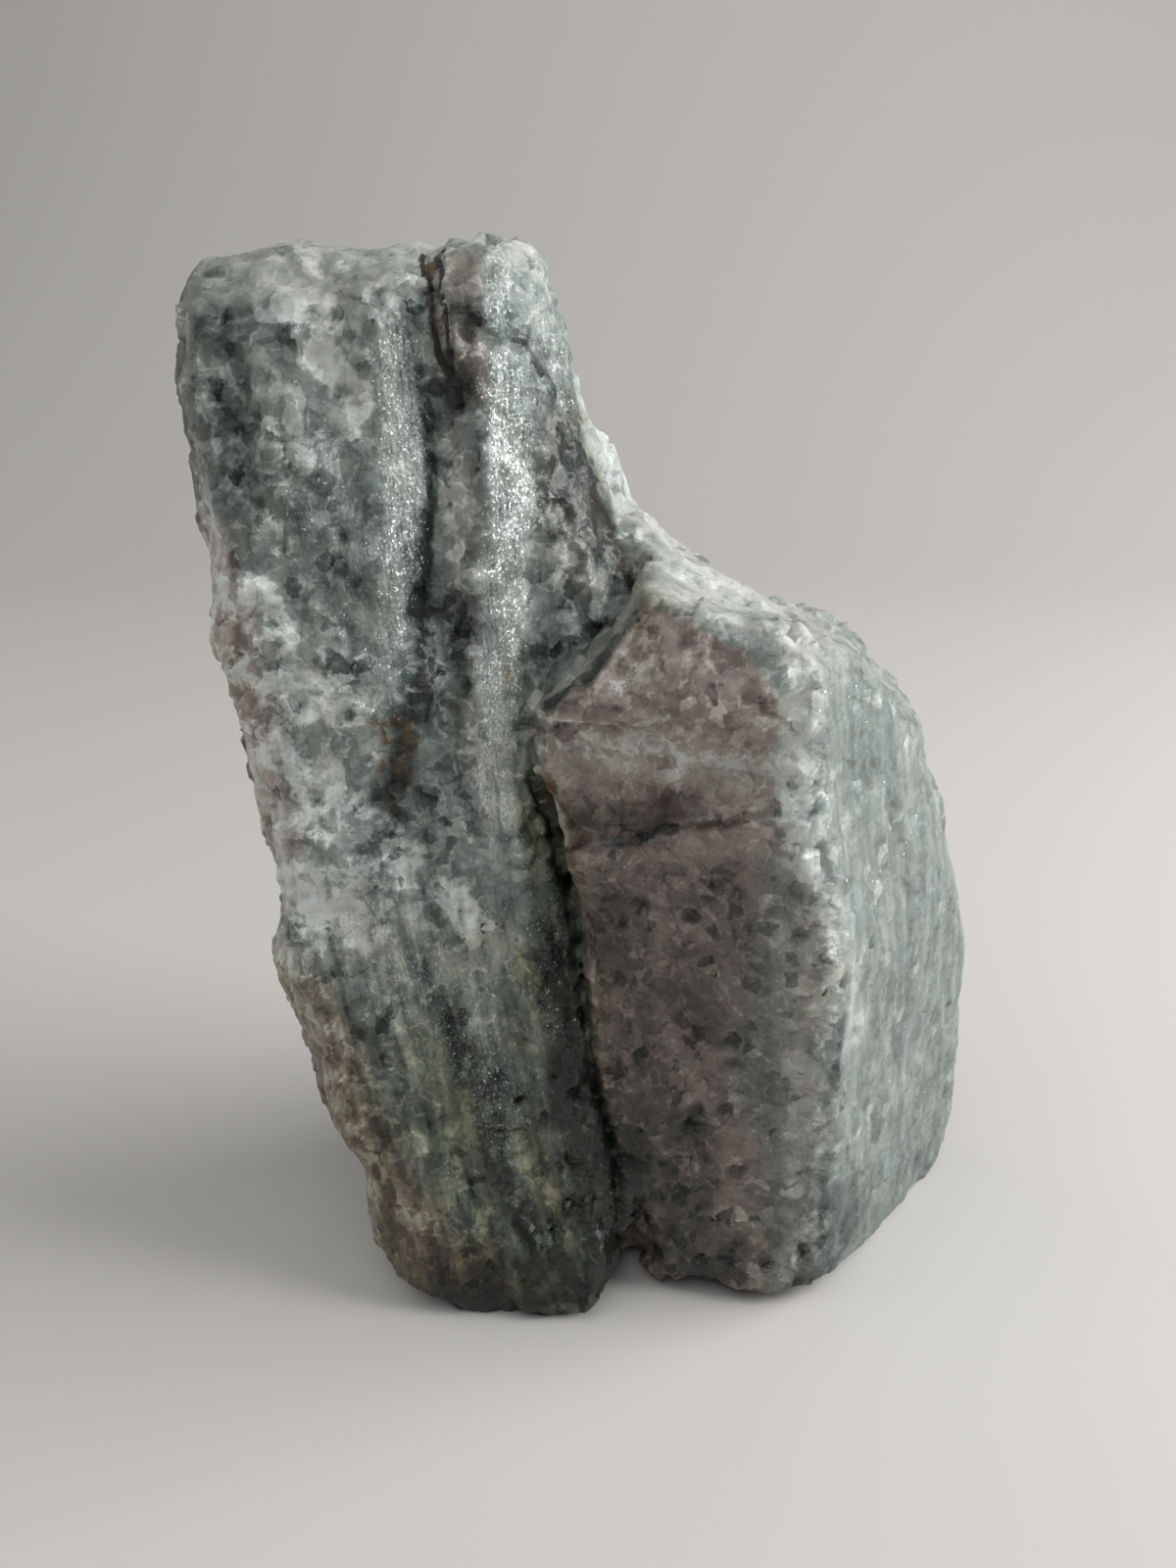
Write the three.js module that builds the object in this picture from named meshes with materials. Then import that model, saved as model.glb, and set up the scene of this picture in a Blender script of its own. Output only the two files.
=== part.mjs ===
// A raw chunk of aventurine, about 120 mm tall, standing on its broken foot.
// A tall slab leans back at the left. A thicker, shorter block is grown onto its right side and stands proud of it.
// Millimetres, +Z up, -Y is the front, origin at the middle of the underside.
import * as THREE from "three";
import { ImprovedNoise } from "three/addons/math/ImprovedNoise.js";

// Grid the surface is traced on: its spacing, how far a vertex stays from its cell's walls, how many steps place a
// vertex, and the space that is searched.
const CELL = 2.7;
const CELL_MARGIN = 0.2;
const MEETING_PASSES = 24;
const SEARCH_MIN = [-50, -30, -1.5];
const SEARCH_MAX = [56, 34, 125];

// Slab: its outline seen from the front as [x, z].
const SLAB_OUTLINE = [
  [-36.6, 117.2], [-39.8, 116.2], [-42.1, 112.8], [-43.1, 106.5], [-42.8, 97.7],
  [-41.4, 85.3], [-41, 76.7], [-39.6, 68], [-38.6, 59.6], [-36, 51.2],
  [-35.8, 46], [-36.7, 42], [-33.8, 35.8], [-31.8, 25.9], [-28.7, 19.4],
  [-26.6, 12.8], [-25.3, 6.5], [-23.6, 1.2], [-20.5, -3.4], [-8, -5.8],
  [-0.4, -2.2], [5, 1.5], [8.5, 8], [8.5, 30], [8, 60],
  [10, 76], [7.4, 85.6], [4.7, 91.2], [2.5, 95], [-0.7, 101.4],
  [-2.4, 107.5], [-3.4, 113], [-5.4, 118], [-8.6, 120], [-17.2, 118.2],
  [-25, 118.3],
];
const SLAB_HEIGHT = 119;
const SLAB_FOOT_FRONT = -19.6;
const SLAB_LEAN_BACK = 0.17;
const SLAB_EDGE_ROUNDING = 2.8;
// Back of the slab: two faces that meet in a blunt upright ridge.
const SLAB_FOOT_BACK = 11;
const SLAB_BACK_LEAN = 0.105;
const SLAB_BACK_RIDGE_X = -12;
const SLAB_BACK_TURN_LEFT = 0.2;
const SLAB_BACK_TURN_RIGHT = 0.12;
const SLAB_BACK_ROUNDING = 5;
// The slab is widest part way through its thickness and narrows towards both broad faces.
const SLAB_WIDEST_FROM = 9;
const SLAB_WIDEST_TO = 14;
const SLAB_FRONT_TAPER = 0.42;
const SLAB_BACK_TAPER = 0.3;

// The grain of the rock leans to the right by this much at the foot.
const GRAIN_LEAN = 15;
const GRAIN_LEAN_POWER = 1.8;
// The upper half of the slab's front, across the grain: a groove, two steps down to the right of it, and a hollow
// under a small ledge. The lower half has streaks, as [place across the grain, half-width, depth], and one step.
const UPPER_FROM = 58;
const UPPER_FULL = 74;
const GROOVE = { depth: 2.4, left: -21, deepFrom: -17, deepTo: -16.5, right: -13.5 };
const STEPS = [{ depth: 2.2, from: -11, to: -7 }, { depth: 1.6, from: -5, to: 1 }];
const HOLLOW = { depth: 2.2, centre: -12.8, halfWidth: 2.8, foot: 71, full: 80 };
const HOLLOW_LEDGE = { z: 87, slope: 0.5, wave: 1.4, waveLength: 3, sharpness: 2.2 };
const STREAKS = [[-25, 2.5, 0.9], [-17, 2, 1.3], [-9.5, 1.8, 1.1]];
const LOWER_STEP = { depth: 1.2, from: -16, to: -6 };
// The slab's left front edge is chipped back over part of its height.
const CHIPPED_EDGE = { depth: 3.2, from: -31, to: -37, centre: 60, halfHeight: 11 };

// Block: its outline seen from the front, open upwards because its top is a surface of its own.
const BLOCK_OUTLINE = [
  [5.3, 100], [5.3, 87.4], [3.9, 84], [0, 79], [-3.9, 76],
  [-5.1, 73.5], [-4.8, 67.5], [-2.1, 60], [-1.6, 56], [-0.8, 49],
  [0, 40], [1.3, 31], [3.4, 21], [4.4, 12], [4.3, 3.4],
  [5.5, -2.6], [16, -5.8], [22, -5.2], [29, -6.2], [42, -7.4],
  [48.4, -5], [49.8, 2], [49.8, 10.5], [49.1, 17.4], [48.2, 26],
  [47.3, 34.3], [45.8, 42.8], [43.4, 49.7], [42.1, 53.3], [40.6, 59],
  [38.4, 62.6], [37.7, 67.4], [35.5, 70.6], [31.2, 76], [21.4, 92],
  [20, 100],
];
// The upright ridge where the block's broken front meets its smooth right side, as [z, x] and [z, y].
const RIDGE_X = [[2, 27.8], [15, 27.6], [28, 27.2], [48, 26.5], [56, 25.2], [65, 22.9], [77, 21.5], [85, 20.5]];
const RIDGE_Y = [[0, -15.6], [15, -17], [28, -18.2], [38, -19.4], [50, -20.4], [65, -20], [77, -19], [85, -17]];
const FRONT_TURN = THREE.MathUtils.degToRad(16);
const FRONT_TURN_FOOT = THREE.MathUtils.degToRad(4);
const FRONT_TURN_HEIGHT = 36;
const RIGHT_TURN = THREE.MathUtils.degToRad(51);
const RIDGE_STRIP_TURN = THREE.MathUtils.degToRad(15);
const RIDGE_STRIP_DEPTH = 0.5;
const BLOCK_EDGE_ROUNDING = 1.8;
const BLOCK_BACK = 24;
const BLOCK_BACK_CENTRE_X = 14;
const BLOCK_BACK_TURN = 0.26;
const BLOCK_BACK_LEAN = 0.1;
const BLOCK_BACK_LEAN_FROM = 40;
const BLOCK_BACK_ROUNDING = 5;
// The block's foot is drawn in at the front and at the back.
const FOOT_HEIGHT = 20;
const FOOT_FRONT = { from: -4, taper: 0.35 };
const FOOT_BACK = { from: 14, taper: 0.3 };
// Height of the block's top as [x, z] along its front crest and along its back edge.
const TOP_FRONT_Y = -15;
const TOP_BACK_Y = 15;
const TOP_FRONT = [[5, 87.6], [10, 86.4], [15, 84.4], [19, 84.9], [24, 81.4], [31, 77.4], [40, 72]];
const TOP_BACK = [[4, 89.6], [7.5, 87.4], [11.5, 84.9], [17, 82.2], [22.7, 79.4], [28.7, 78], [32, 75.6], [40, 66]];
const TOP_STEEPNESS = 0.94;
// The block's broken front: a wavy ledge across it, the hollow under the ledge down to a rising crease, and a pocket.
const FRONT_LEDGE = { z: 75, slope: -0.16, wave: 2.4, waveLength: 7, sharpness: 3.5, lean: 0.22 };
const FRONT_CREASE = { z: 60, slope: 0.32, wave: 1.5, waveLength: 7, height: 6 };
const FRONT_HOLLOW = { depth: 1.7, fadeFrom: 14, fadeTo: 24 };
const FRONT_POCKET = { depth: 1.8, x: 3, z: 46, halfWidth: 3, halfHeight: 5 };

// Seam between slab and block: a groove at the front, filled in towards the back.
const SEAM_BLEND_FRONT = 1.2;
const SEAM_BLEND_BACK = 4;
const SEAM_FRONT_Y = -6;
const SEAM_BACK_Y = 8;
const SEAM_GROOVE = 1.6;
const SEAM_WIDTH = 2.4;

// Where the underside touches the ground, as [x, y, radius]. Between these it arches up.
const PADS = [[-12, -12, 7], [-8, 3, 5], [14, 5, 8], [37, 5, 7]];
const ARCH = { slope: 0.16, height: 1.8, rounding: 1.5 };

// Flat scars where pieces broke off the back, as [normal x, normal y, normal z, distance from the origin].
const SCARS = [
  [-0.3, 0.66, -0.69, 8], [0.5, 0.72, -0.48, 32], [0.28, 0.8, 0.53, 70],
  [-0.62, 0.6, 0.5, 91], [-0.8, 0.6, 0, 42],
];
const SCAR_ROUNDING = 3;

// Unevenness of the broken rock, as a height and the size of one swelling along x, y and z.
const GRAIN_RIDGES = { height: 1, size: [7, 12, 28] };
const LUMPS = { height: 0.8, size: [7.5, 7.5, 9.5] };
const CREASES = { height: 1.8, level: 0.3, size: [14, 14, 17] };
// The right side is a smoother face: its share of the unevenness, and where across the stone and up it begins.
const SMOOTH_SIDE = { share: 0.35, slant: 0.8, from: 34, to: 42, top: 82, full: 74 };

const noise = new ImprovedNoise();
const { clamp, lerp, smoothstep } = THREE.MathUtils;

// Noise in the given number of millimetres per swelling, started from its own place so that no two match.
function swelling(size, x, y, z, start) {
  return noise.noise(x / size[0] + start, y / size[1] + start, z / size[2] + start);
}

// How far a wavy line across the stone strays from straight at x.
function waviness({ wave, waveLength }, x) {
  return wave * noise.noise(x / waveLength, 2.5, 4.5);
}

// Straight-line interpolation through [key, value] pairs in rising order of key.
function along(pairs, key) {
  const last = pairs.findIndex(([end], i) => i > 0 && (key < end || i === pairs.length - 1));
  const [[k0, v0], [k1, v1]] = [pairs[last - 1], pairs[last]];
  return lerp(v0, v1, clamp((key - k0) / (k1 - k0), 0, 1));
}

// Signed distance to a closed outline, negative inside.
function outlineDistance(points, x, z) {
  let nearest = Infinity;
  let inside = false;
  points.forEach(([ax, az], i) => {
    const [bx, bz] = points.at(i - 1);
    const [ex, ez] = [bx - ax, bz - az];
    const t = clamp(((x - ax) * ex + (z - az) * ez) / (ex * ex + ez * ez), 0, 1);
    nearest = Math.min(nearest, Math.hypot(x - ax - ex * t, z - az - ez * t));
    if (az > z !== bz > z && x < ax + (ex * (z - az)) / ez) inside = !inside;
  });
  return inside ? -nearest : nearest;
}

// The larger of two distances, with the corner between them rounded over the given width.
function roundedMax(a, b, width) {
  const h = clamp(0.5 + (0.5 * (a - b)) / width, 0, 1);
  return lerp(b, a, h) + width * h * (1 - h);
}

function roundedMin(a, b, width) {
  return -roundedMax(-a, -b, width);
}

// 1 at the centre of a bump of the given half-width, falling to 0 either side.
function bump(value, centre, halfWidth) {
  return Math.exp(-(((value - centre) / halfWidth) ** 2));
}

// Rise from 0 to 1 as value goes from start to end, in either direction.
function ramp(value, start, end) {
  return start < end ? smoothstep(value, start, end) : 1 - smoothstep(value, end, start);
}

// Place across the grain: the sheets of the rock lean to the right towards the foot.
function acrossGrain(x, z) {
  return x - GRAIN_LEAN * (1 - clamp(z / SLAB_HEIGHT, 0, 1)) ** GRAIN_LEAN_POWER;
}

// Depth of the slab's front below its leaning plane.
function slabRelief(x, z) {
  const s = acrossGrain(x, z);
  const upper = ramp(z, UPPER_FROM, UPPER_FULL);
  const stepDown = ({ depth, from, to }) => depth * ramp(s, from, to);
  const groove = GROOVE.depth * ramp(s, GROOVE.left, GROOVE.deepFrom) * ramp(s, GROOVE.right, GROOVE.deepTo);
  const upperDepth = STEPS.reduce((sum, step) => sum + stepDown(step), groove);
  const streak = ([at, halfWidth, depth]) => depth * bump(s, at, halfWidth);
  const lowerDepth = STREAKS.reduce((sum, one) => sum + streak(one), stepDown(LOWER_STEP));
  const ledge = HOLLOW_LEDGE.z + HOLLOW_LEDGE.slope * (s - HOLLOW.centre) + waviness(HOLLOW_LEDGE, x);
  const underLedge = ramp(z, ledge, ledge - HOLLOW_LEDGE.sharpness) * ramp(z, HOLLOW.foot, HOLLOW.full);
  const hollow = HOLLOW.depth * underLedge * bump(s, HOLLOW.centre, HOLLOW.halfWidth);
  const chipHeight = bump(z, CHIPPED_EDGE.centre, CHIPPED_EDGE.halfHeight);
  const chip = CHIPPED_EDGE.depth * ramp(x, CHIPPED_EDGE.from, CHIPPED_EDGE.to) * chipHeight;
  return lerp(lowerDepth, upperDepth, upper) + hollow + chip;
}

function slab(x, y, z) {
  const toBlock = Math.max(outlineDistance(BLOCK_OUTLINE, x, z), 0);
  const seam = SEAM_GROOVE * bump(toBlock, 0, SEAM_WIDTH);
  const front = SLAB_FOOT_FRONT + SLAB_LEAN_BACK * z + slabRelief(x, z) + seam;
  const fromRidge = x - SLAB_BACK_RIDGE_X;
  const turn = fromRidge < 0 ? -SLAB_BACK_TURN_LEFT : SLAB_BACK_TURN_RIGHT;
  const back = SLAB_FOOT_BACK + SLAB_BACK_LEAN * z - turn * fromRidge;
  const depth = y - front;
  const frontTaper = SLAB_FRONT_TAPER * Math.max(0, SLAB_WIDEST_FROM - depth);
  const backTaper = SLAB_BACK_TAPER * Math.max(0, depth - SLAB_WIDEST_TO);
  const side = outlineDistance(SLAB_OUTLINE, x, z) + frontTaper + backTaper;
  return roundedMax(roundedMax(side, -depth, SLAB_EDGE_ROUNDING), y - back, SLAB_BACK_ROUNDING);
}

// Depth of the block's broken front below its plane.
function frontRelief(x, z) {
  const ledge = FRONT_LEDGE.z + FRONT_LEDGE.slope * x + waviness(FRONT_LEDGE, x);
  const crease = FRONT_CREASE.z + FRONT_CREASE.slope * x + waviness(FRONT_CREASE, x);
  const fade = ramp(x, FRONT_HOLLOW.fadeTo, FRONT_HOLLOW.fadeFrom);
  const underLedge = ramp(z, ledge, ledge - FRONT_LEDGE.sharpness) * ramp(z, crease, crease + FRONT_CREASE.height);
  const hollow = FRONT_HOLLOW.depth * fade * underLedge;
  const aboveLedge = FRONT_LEDGE.lean * Math.max(0, z - ledge);
  const acrossPocket = bump(x, FRONT_POCKET.x, FRONT_POCKET.halfWidth);
  const pocket = FRONT_POCKET.depth * acrossPocket * bump(z, FRONT_POCKET.z, FRONT_POCKET.halfHeight);
  return hollow + aboveLedge + pocket;
}

// Distance in front of an upright plane through the ridge line, turned to the right by the given angle.
function facing(turn, fromRidgeX, fromRidgeY) {
  return Math.sin(turn) * fromRidgeX - Math.cos(turn) * fromRidgeY;
}

function block(x, y, z) {
  const dx = x - along(RIDGE_X, z);
  const dy = y - along(RIDGE_Y, z);
  const frontTurn = lerp(FRONT_TURN_FOOT, FRONT_TURN, ramp(z, 0, FRONT_TURN_HEIGHT));
  const front = facing(-frontTurn, dx, dy) + frontRelief(x, z);
  const right = facing(RIGHT_TURN, dx, dy);
  const strip = facing(RIDGE_STRIP_TURN, dx, dy) - RIDGE_STRIP_DEPTH;
  const towardsBack = clamp((y - TOP_FRONT_Y) / (TOP_BACK_Y - TOP_FRONT_Y), 0, 1);
  const top = TOP_STEEPNESS * (z - lerp(along(TOP_FRONT, x), along(TOP_BACK, x), towardsBack));
  const inFront = FOOT_FRONT.taper * Math.max(0, FOOT_FRONT.from - y);
  const inBack = FOOT_BACK.taper * Math.max(0, y - FOOT_BACK.from);
  const side = outlineDistance(BLOCK_OUTLINE, x, z) + (inFront + inBack) * ramp(z, FOOT_HEIGHT, FOOT_HEIGHT / 2);
  const behind = BLOCK_BACK_LEAN * Math.max(0, z - BLOCK_BACK_LEAN_FROM);
  const back = BLOCK_BACK - BLOCK_BACK_TURN * (x - BLOCK_BACK_CENTRE_X) - behind;
  const faces = [right, strip, top, side].reduce((sum, face) => roundedMax(sum, face, BLOCK_EDGE_ROUNDING), front);
  return roundedMax(faces, y - back, BLOCK_BACK_ROUNDING);
}

// Height of the unevenness at a point.
function roughness(x, y, z) {
  const ridges = GRAIN_RIDGES.height * swelling(GRAIN_RIDGES.size, acrossGrain(x, z), y, z, 3);
  const lumps = LUMPS.height * swelling(LUMPS.size, x, y, z, 9);
  const creases = CREASES.height * (CREASES.level - Math.abs(swelling(CREASES.size, x, y, z, 5)));
  const acrossSide = ramp(x - SMOOTH_SIDE.slant * y, SMOOTH_SIDE.from, SMOOTH_SIDE.to);
  const smooth = acrossSide * ramp(z, SMOOTH_SIDE.top, SMOOTH_SIDE.full);
  return (ridges + lumps + creases) * lerp(1, SMOOTH_SIDE.share, smooth);
}

function scarDistance(x, y, z) {
  return Math.max(...SCARS.map(([nx, ny, nz, distance]) => nx * x + ny * y + nz * z - distance));
}

// Height of the underside above the ground, negative within a pad.
function undersideHeight(x, y) {
  const outside = Math.min(...PADS.map(([padX, padY, radius]) => Math.hypot(x - padX, y - padY) - radius));
  return Math.min(ARCH.slope * outside, ARCH.height);
}

// Signed distance to the whole stone, cut flat where it rests on the ground.
function stoneDistance(x, y, z) {
  const blend = lerp(SEAM_BLEND_FRONT, SEAM_BLEND_BACK, ramp(y, SEAM_FRONT_Y, SEAM_BACK_Y));
  const body = roundedMin(slab(x, y, z), block(x, y, z), blend);
  const scarred = roundedMax(body, scarDistance(x, y, z), SCAR_ROUNDING);
  const raised = roundedMax(scarred, undersideHeight(x, y) - z, ARCH.rounding);
  return Math.max(raised + roughness(x, y, z), -z);
}

// The eight corners of a grid cell, counted so that bit 0, 1 and 2 of the number say whether x, y and z are high.
const CORNERS = [0, 1, 2, 3, 4, 5, 6, 7].map((n) => [n & 1, (n >> 1) & 1, n >> 2]);
const CELL_EDGES = [1, 2, 4].flatMap((bit) => (
  CORNERS.map((_, n) => n).filter((n) => !(n & bit)).map((n) => [n, n | bit])
));
const CELL_FACES = [[1, 2, 4], [2, 4, 1], [4, 1, 2]].flatMap(([u, v, w]) => (
  [0, w].map((n) => [n, n + u, n + v, n + u + v])
));

// Names the group each corner of a cell belongs to. Corners on the same side of the surface are one group when an
// edge joins them, or, outside the stone, when they face each other across a side whose other corners are inside.
function cornerGroups(inside) {
  const group = CORNERS.map((_, n) => n);
  const join = (a, b) => {
    const [kept, dropped] = [group[a], group[b]];
    group.forEach((name, n) => {
      if (name === dropped) group[n] = kept;
    });
  };
  CELL_EDGES.forEach(([a, b]) => {
    if (inside[a] === inside[b]) join(a, b);
  });
  CELL_FACES.forEach(([a, b, c, d]) => {
    if (inside[a] && inside[d] && !inside[b] && !inside[c]) join(b, c);
    if (inside[b] && inside[c] && !inside[a] && !inside[d]) join(a, d);
  });
  return group;
}

// Direction in which the distance grows fastest.
function slopeAt(distance, point) {
  const step = CELL / 50;
  const rise = [0, 1, 2].map((axis) => {
    const ahead = [...point];
    const behind = [...point];
    ahead[axis] += step;
    behind[axis] -= step;
    return distance(...ahead) - distance(...behind);
  });
  return new THREE.Vector3(...rise).normalize();
}

// The point of a box closest to a set of planes, reached by small steps from the middle of their points.
function meetingPoint(planes, low, high) {
  const point = new THREE.Vector3();
  planes.forEach((plane) => point.addScaledVector(plane.point, 1 / planes.length));
  for (let pass = 0; pass < MEETING_PASSES; pass += 1) {
    const pull = new THREE.Vector3();
    planes.forEach((plane) => {
      pull.addScaledVector(plane.normal, plane.normal.dot(plane.point) - plane.normal.dot(point));
    });
    point.addScaledVector(pull, 1 / planes.length).clamp(low, high);
  }
  return point;
}

// Traces the surface where the distance is zero. Each sheet of the surface that passes through a grid cell gets one
// vertex there, where the planes found on that cell's edges meet, so that ledges stay sharp.
function traceSurface(distance) {
  const count = SEARCH_MIN.map((low, axis) => Math.ceil((SEARCH_MAX[axis] - low) / CELL));
  const place = (cell, part) => SEARCH_MIN.map((low, axis) => low + (cell[axis] + part[axis]) * CELL);
  const index = (i, j, k) => (k * (count[1] + 1) + j) * (count[0] + 1) + i;
  const values = new Float64Array((count[0] + 1) * (count[1] + 1) * (count[2] + 1));
  for (let k = 0; k <= count[2]; k += 1) {
    for (let j = 0; j <= count[1]; j += 1) {
      for (let i = 0; i <= count[0]; i += 1) {
        values[index(i, j, k)] = distance(...place([i, j, k], [0, 0, 0]));
      }
    }
  }

  const positions = [];
  const cells = new Map();

  // Works out the corner groups of a cell and places the vertex of each sheet in it.
  function readCell(cell) {
    const corner = CORNERS.map((part) => values[index(...cell.map((n, axis) => n + part[axis]))]);
    const group = cornerGroups(corner.map((value) => value < 0));
    const sheets = new Map();
    CELL_EDGES.forEach(([a, b]) => {
      if (corner[a] < 0 === corner[b] < 0) return;
      const t = corner[a] / (corner[a] - corner[b]);
      const point = place(cell, CORNERS[a].map((n, axis) => lerp(n, CORNERS[b][axis], t)));
      const name = corner[a] < 0 ? `${group[a]}-${group[b]}` : `${group[b]}-${group[a]}`;
      if (!sheets.has(name)) sheets.set(name, []);
      sheets.get(name).push({ point: new THREE.Vector3(...point), normal: slopeAt(distance, point) });
    });
    const low = new THREE.Vector3(...place(cell, [0, 0, 0])).addScalar(CELL_MARGIN);
    const high = low.clone().addScalar(CELL - 2 * CELL_MARGIN);
    const vertexOf = new Map();
    sheets.forEach((planes, name) => {
      const vertex = meetingPoint(planes, low, high);
      if (cell[2] === 0) vertex.z = 0;
      vertexOf.set(name, positions.length / 3);
      positions.push(...vertex);
    });
    return { group, vertexOf };
  }

  // The vertex a cell gives to the sheet that crosses the grid line between an inside and an outside grid point.
  function sheetVertex(cell, insidePoint, outsidePoint) {
    const key = index(...cell);
    if (!cells.has(key)) cells.set(key, readCell(cell));
    const { group, vertexOf } = cells.get(key);
    const cornerAt = (point) => point.reduce((sum, n, axis) => sum + ((n - cell[axis]) << axis), 0);
    return vertexOf.get(`${group[cornerAt(insidePoint)]}-${group[cornerAt(outsidePoint)]}`);
  }

  const triangles = [];
  const vertexPoint = (n) => new THREE.Vector3().fromArray(positions, 3 * n);

  function addQuad([a, b, c, d]) {
    const acIsShort = vertexPoint(a).distanceTo(vertexPoint(c)) <= vertexPoint(b).distanceTo(vertexPoint(d));
    triangles.push(...(acIsShort ? [a, b, c, a, c, d] : [a, b, d, b, c, d]));
  }

  // Where the surface crosses a grid line, the four cells round that line give the corners of one quad.
  const AROUND = [
    [[0, -1, -1], [0, 0, -1], [0, 0, 0], [0, -1, 0]],
    [[-1, 0, -1], [-1, 0, 0], [0, 0, 0], [0, 0, -1]],
    [[-1, -1, 0], [0, -1, 0], [0, 0, 0], [-1, 0, 0]],
  ];
  for (let k = 0; k < count[2]; k += 1) {
    for (let j = 1; j < count[1]; j += 1) {
      for (let i = 1; i < count[0]; i += 1) {
        AROUND.forEach((offsets, axis) => {
          const here = [i, j, k];
          const next = here.map((n, other) => n + (other === axis ? 1 : 0));
          const hereInside = values[index(...here)] < 0;
          if (hereInside === values[index(...next)] < 0) return;
          const quad = offsets.map((offset) => sheetVertex(
            here.map((n, other) => n + offset[other]),
            hereInside ? here : next,
            hereInside ? next : here,
          ));
          addQuad(hereInside ? quad : quad.reverse());
        });
      }
    }
  }

  const geometry = new THREE.BufferGeometry();
  geometry.setAttribute("position", new THREE.Float32BufferAttribute(positions, 3));
  geometry.setIndex(triangles);
  return geometry;
}

const geometry = traceSurface(stoneDistance);
geometry.computeBoundingBox();
const middle = geometry.boundingBox.getCenter(new THREE.Vector3());
geometry.translate(-middle.x, -middle.y, 0);
geometry.computeVertexNormals();

const material = new THREE.MeshStandardMaterial({ color: "#7f8c86", roughness: 0.6, metalness: 0 });
const stone = new THREE.Mesh(geometry, material);
stone.name = "stone";

const part = new THREE.Group();
part.add(stone);
export default part;
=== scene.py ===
import itertools
import math
from functools import partial
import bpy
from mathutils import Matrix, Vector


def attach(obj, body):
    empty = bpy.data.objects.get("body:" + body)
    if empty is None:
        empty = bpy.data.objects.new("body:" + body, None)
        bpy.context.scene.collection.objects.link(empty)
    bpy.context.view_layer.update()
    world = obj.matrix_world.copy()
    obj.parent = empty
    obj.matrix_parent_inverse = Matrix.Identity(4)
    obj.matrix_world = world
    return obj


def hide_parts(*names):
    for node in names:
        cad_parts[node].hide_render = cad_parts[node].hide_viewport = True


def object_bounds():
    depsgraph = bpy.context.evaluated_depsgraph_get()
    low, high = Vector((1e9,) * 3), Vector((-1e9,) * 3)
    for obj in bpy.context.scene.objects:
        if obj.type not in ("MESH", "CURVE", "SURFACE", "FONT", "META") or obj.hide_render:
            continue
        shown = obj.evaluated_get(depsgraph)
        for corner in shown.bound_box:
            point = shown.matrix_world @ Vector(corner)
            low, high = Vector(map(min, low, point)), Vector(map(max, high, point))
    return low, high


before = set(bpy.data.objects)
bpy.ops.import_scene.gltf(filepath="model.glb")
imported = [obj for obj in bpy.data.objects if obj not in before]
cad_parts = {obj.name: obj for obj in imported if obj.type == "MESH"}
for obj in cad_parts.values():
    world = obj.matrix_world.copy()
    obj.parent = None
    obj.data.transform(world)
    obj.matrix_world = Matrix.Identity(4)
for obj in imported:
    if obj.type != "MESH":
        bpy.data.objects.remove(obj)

from types import SimpleNamespace

import bpy
import numpy as np
from mathutils import Vector

CAD_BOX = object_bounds()

bl_info = {
    "name": "Raw aventurine",
    "version": (1, 0, 0),
    "blender": (4, 5, 0),
    "location": "3D View > Sidebar > Aventurine",
    "description": "Dresses a raw chunk of green aventurine: broken grain, mica bands and iron stains",
    "category": "Object",
}

MM = 0.001
CAD_NODE = "stone"

# The stage, in metres and degrees. The floor runs up behind into a plain backdrop.
FLOOR_SIDE, FLOOR_FRONT, BACKDROP_TOP = 3, -2.5, 1.6
SWEEP_START, SWEEP_BEND, SWEEP_STEPS = 0.3, 0.3, 12
STONE_MIDDLE = (0, 0, 0.055)
WINDOW_PLACE, WINDOW_SIZE = (0.50, -0.02, 0.36), 0.42
OVERHEAD_PLACE, OVERHEAD_SIZE = (-0.08, -0.22, 0.62), 0.6
LEFT_PLACE, LEFT_SIZE = (-0.45, 0.08, 0.26), 0.5
ROOM_COLOUR = (0.9, 0.93, 1.0, 1)
CAMERA_PLACE, CAMERA_TILT = (-0.0029346, -0.1450045, 0.1248), 66
CAMERA_LENS, CAMERA_FILM, CAMERA_NEAR = 31.5, 36, 0.005

# The stone's own lines seen from the front, in millimetres. These climb, as (height, place to the right):
# where slab and block meet, the block's edge between front and right face, and a line of black mica specks.
SEAM = [
    (4, 2.0), (12, 1.5), (20, 0.5), (30, -1.6), (38, -2.9), (47, -3.8), (53, -4.6), (60, -6.5),
    (65, -8.0), (72, -8.2), (75, -6.9), (78.5, -2.9), (83, 1.0), (86, 2.6), (92, 5.0),
]
RIDGE = [
    (4, 24.1), (16, 23.3), (28, 22.6), (38, 22.1), (48, 21.9), (56, 20.7), (65, 18.3), (71, 17.2),
    (81, 17.5), (84, 16.7), (90, 15.0),
]
SPECKLED_LINE = [
    (84.4, 1.5), (88.6, -0.6), (91.2, -1.7), (97.1, -3.8), (101, -4.7), (106, -5.6), (112, -6.4), (119, -7),
]
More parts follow.
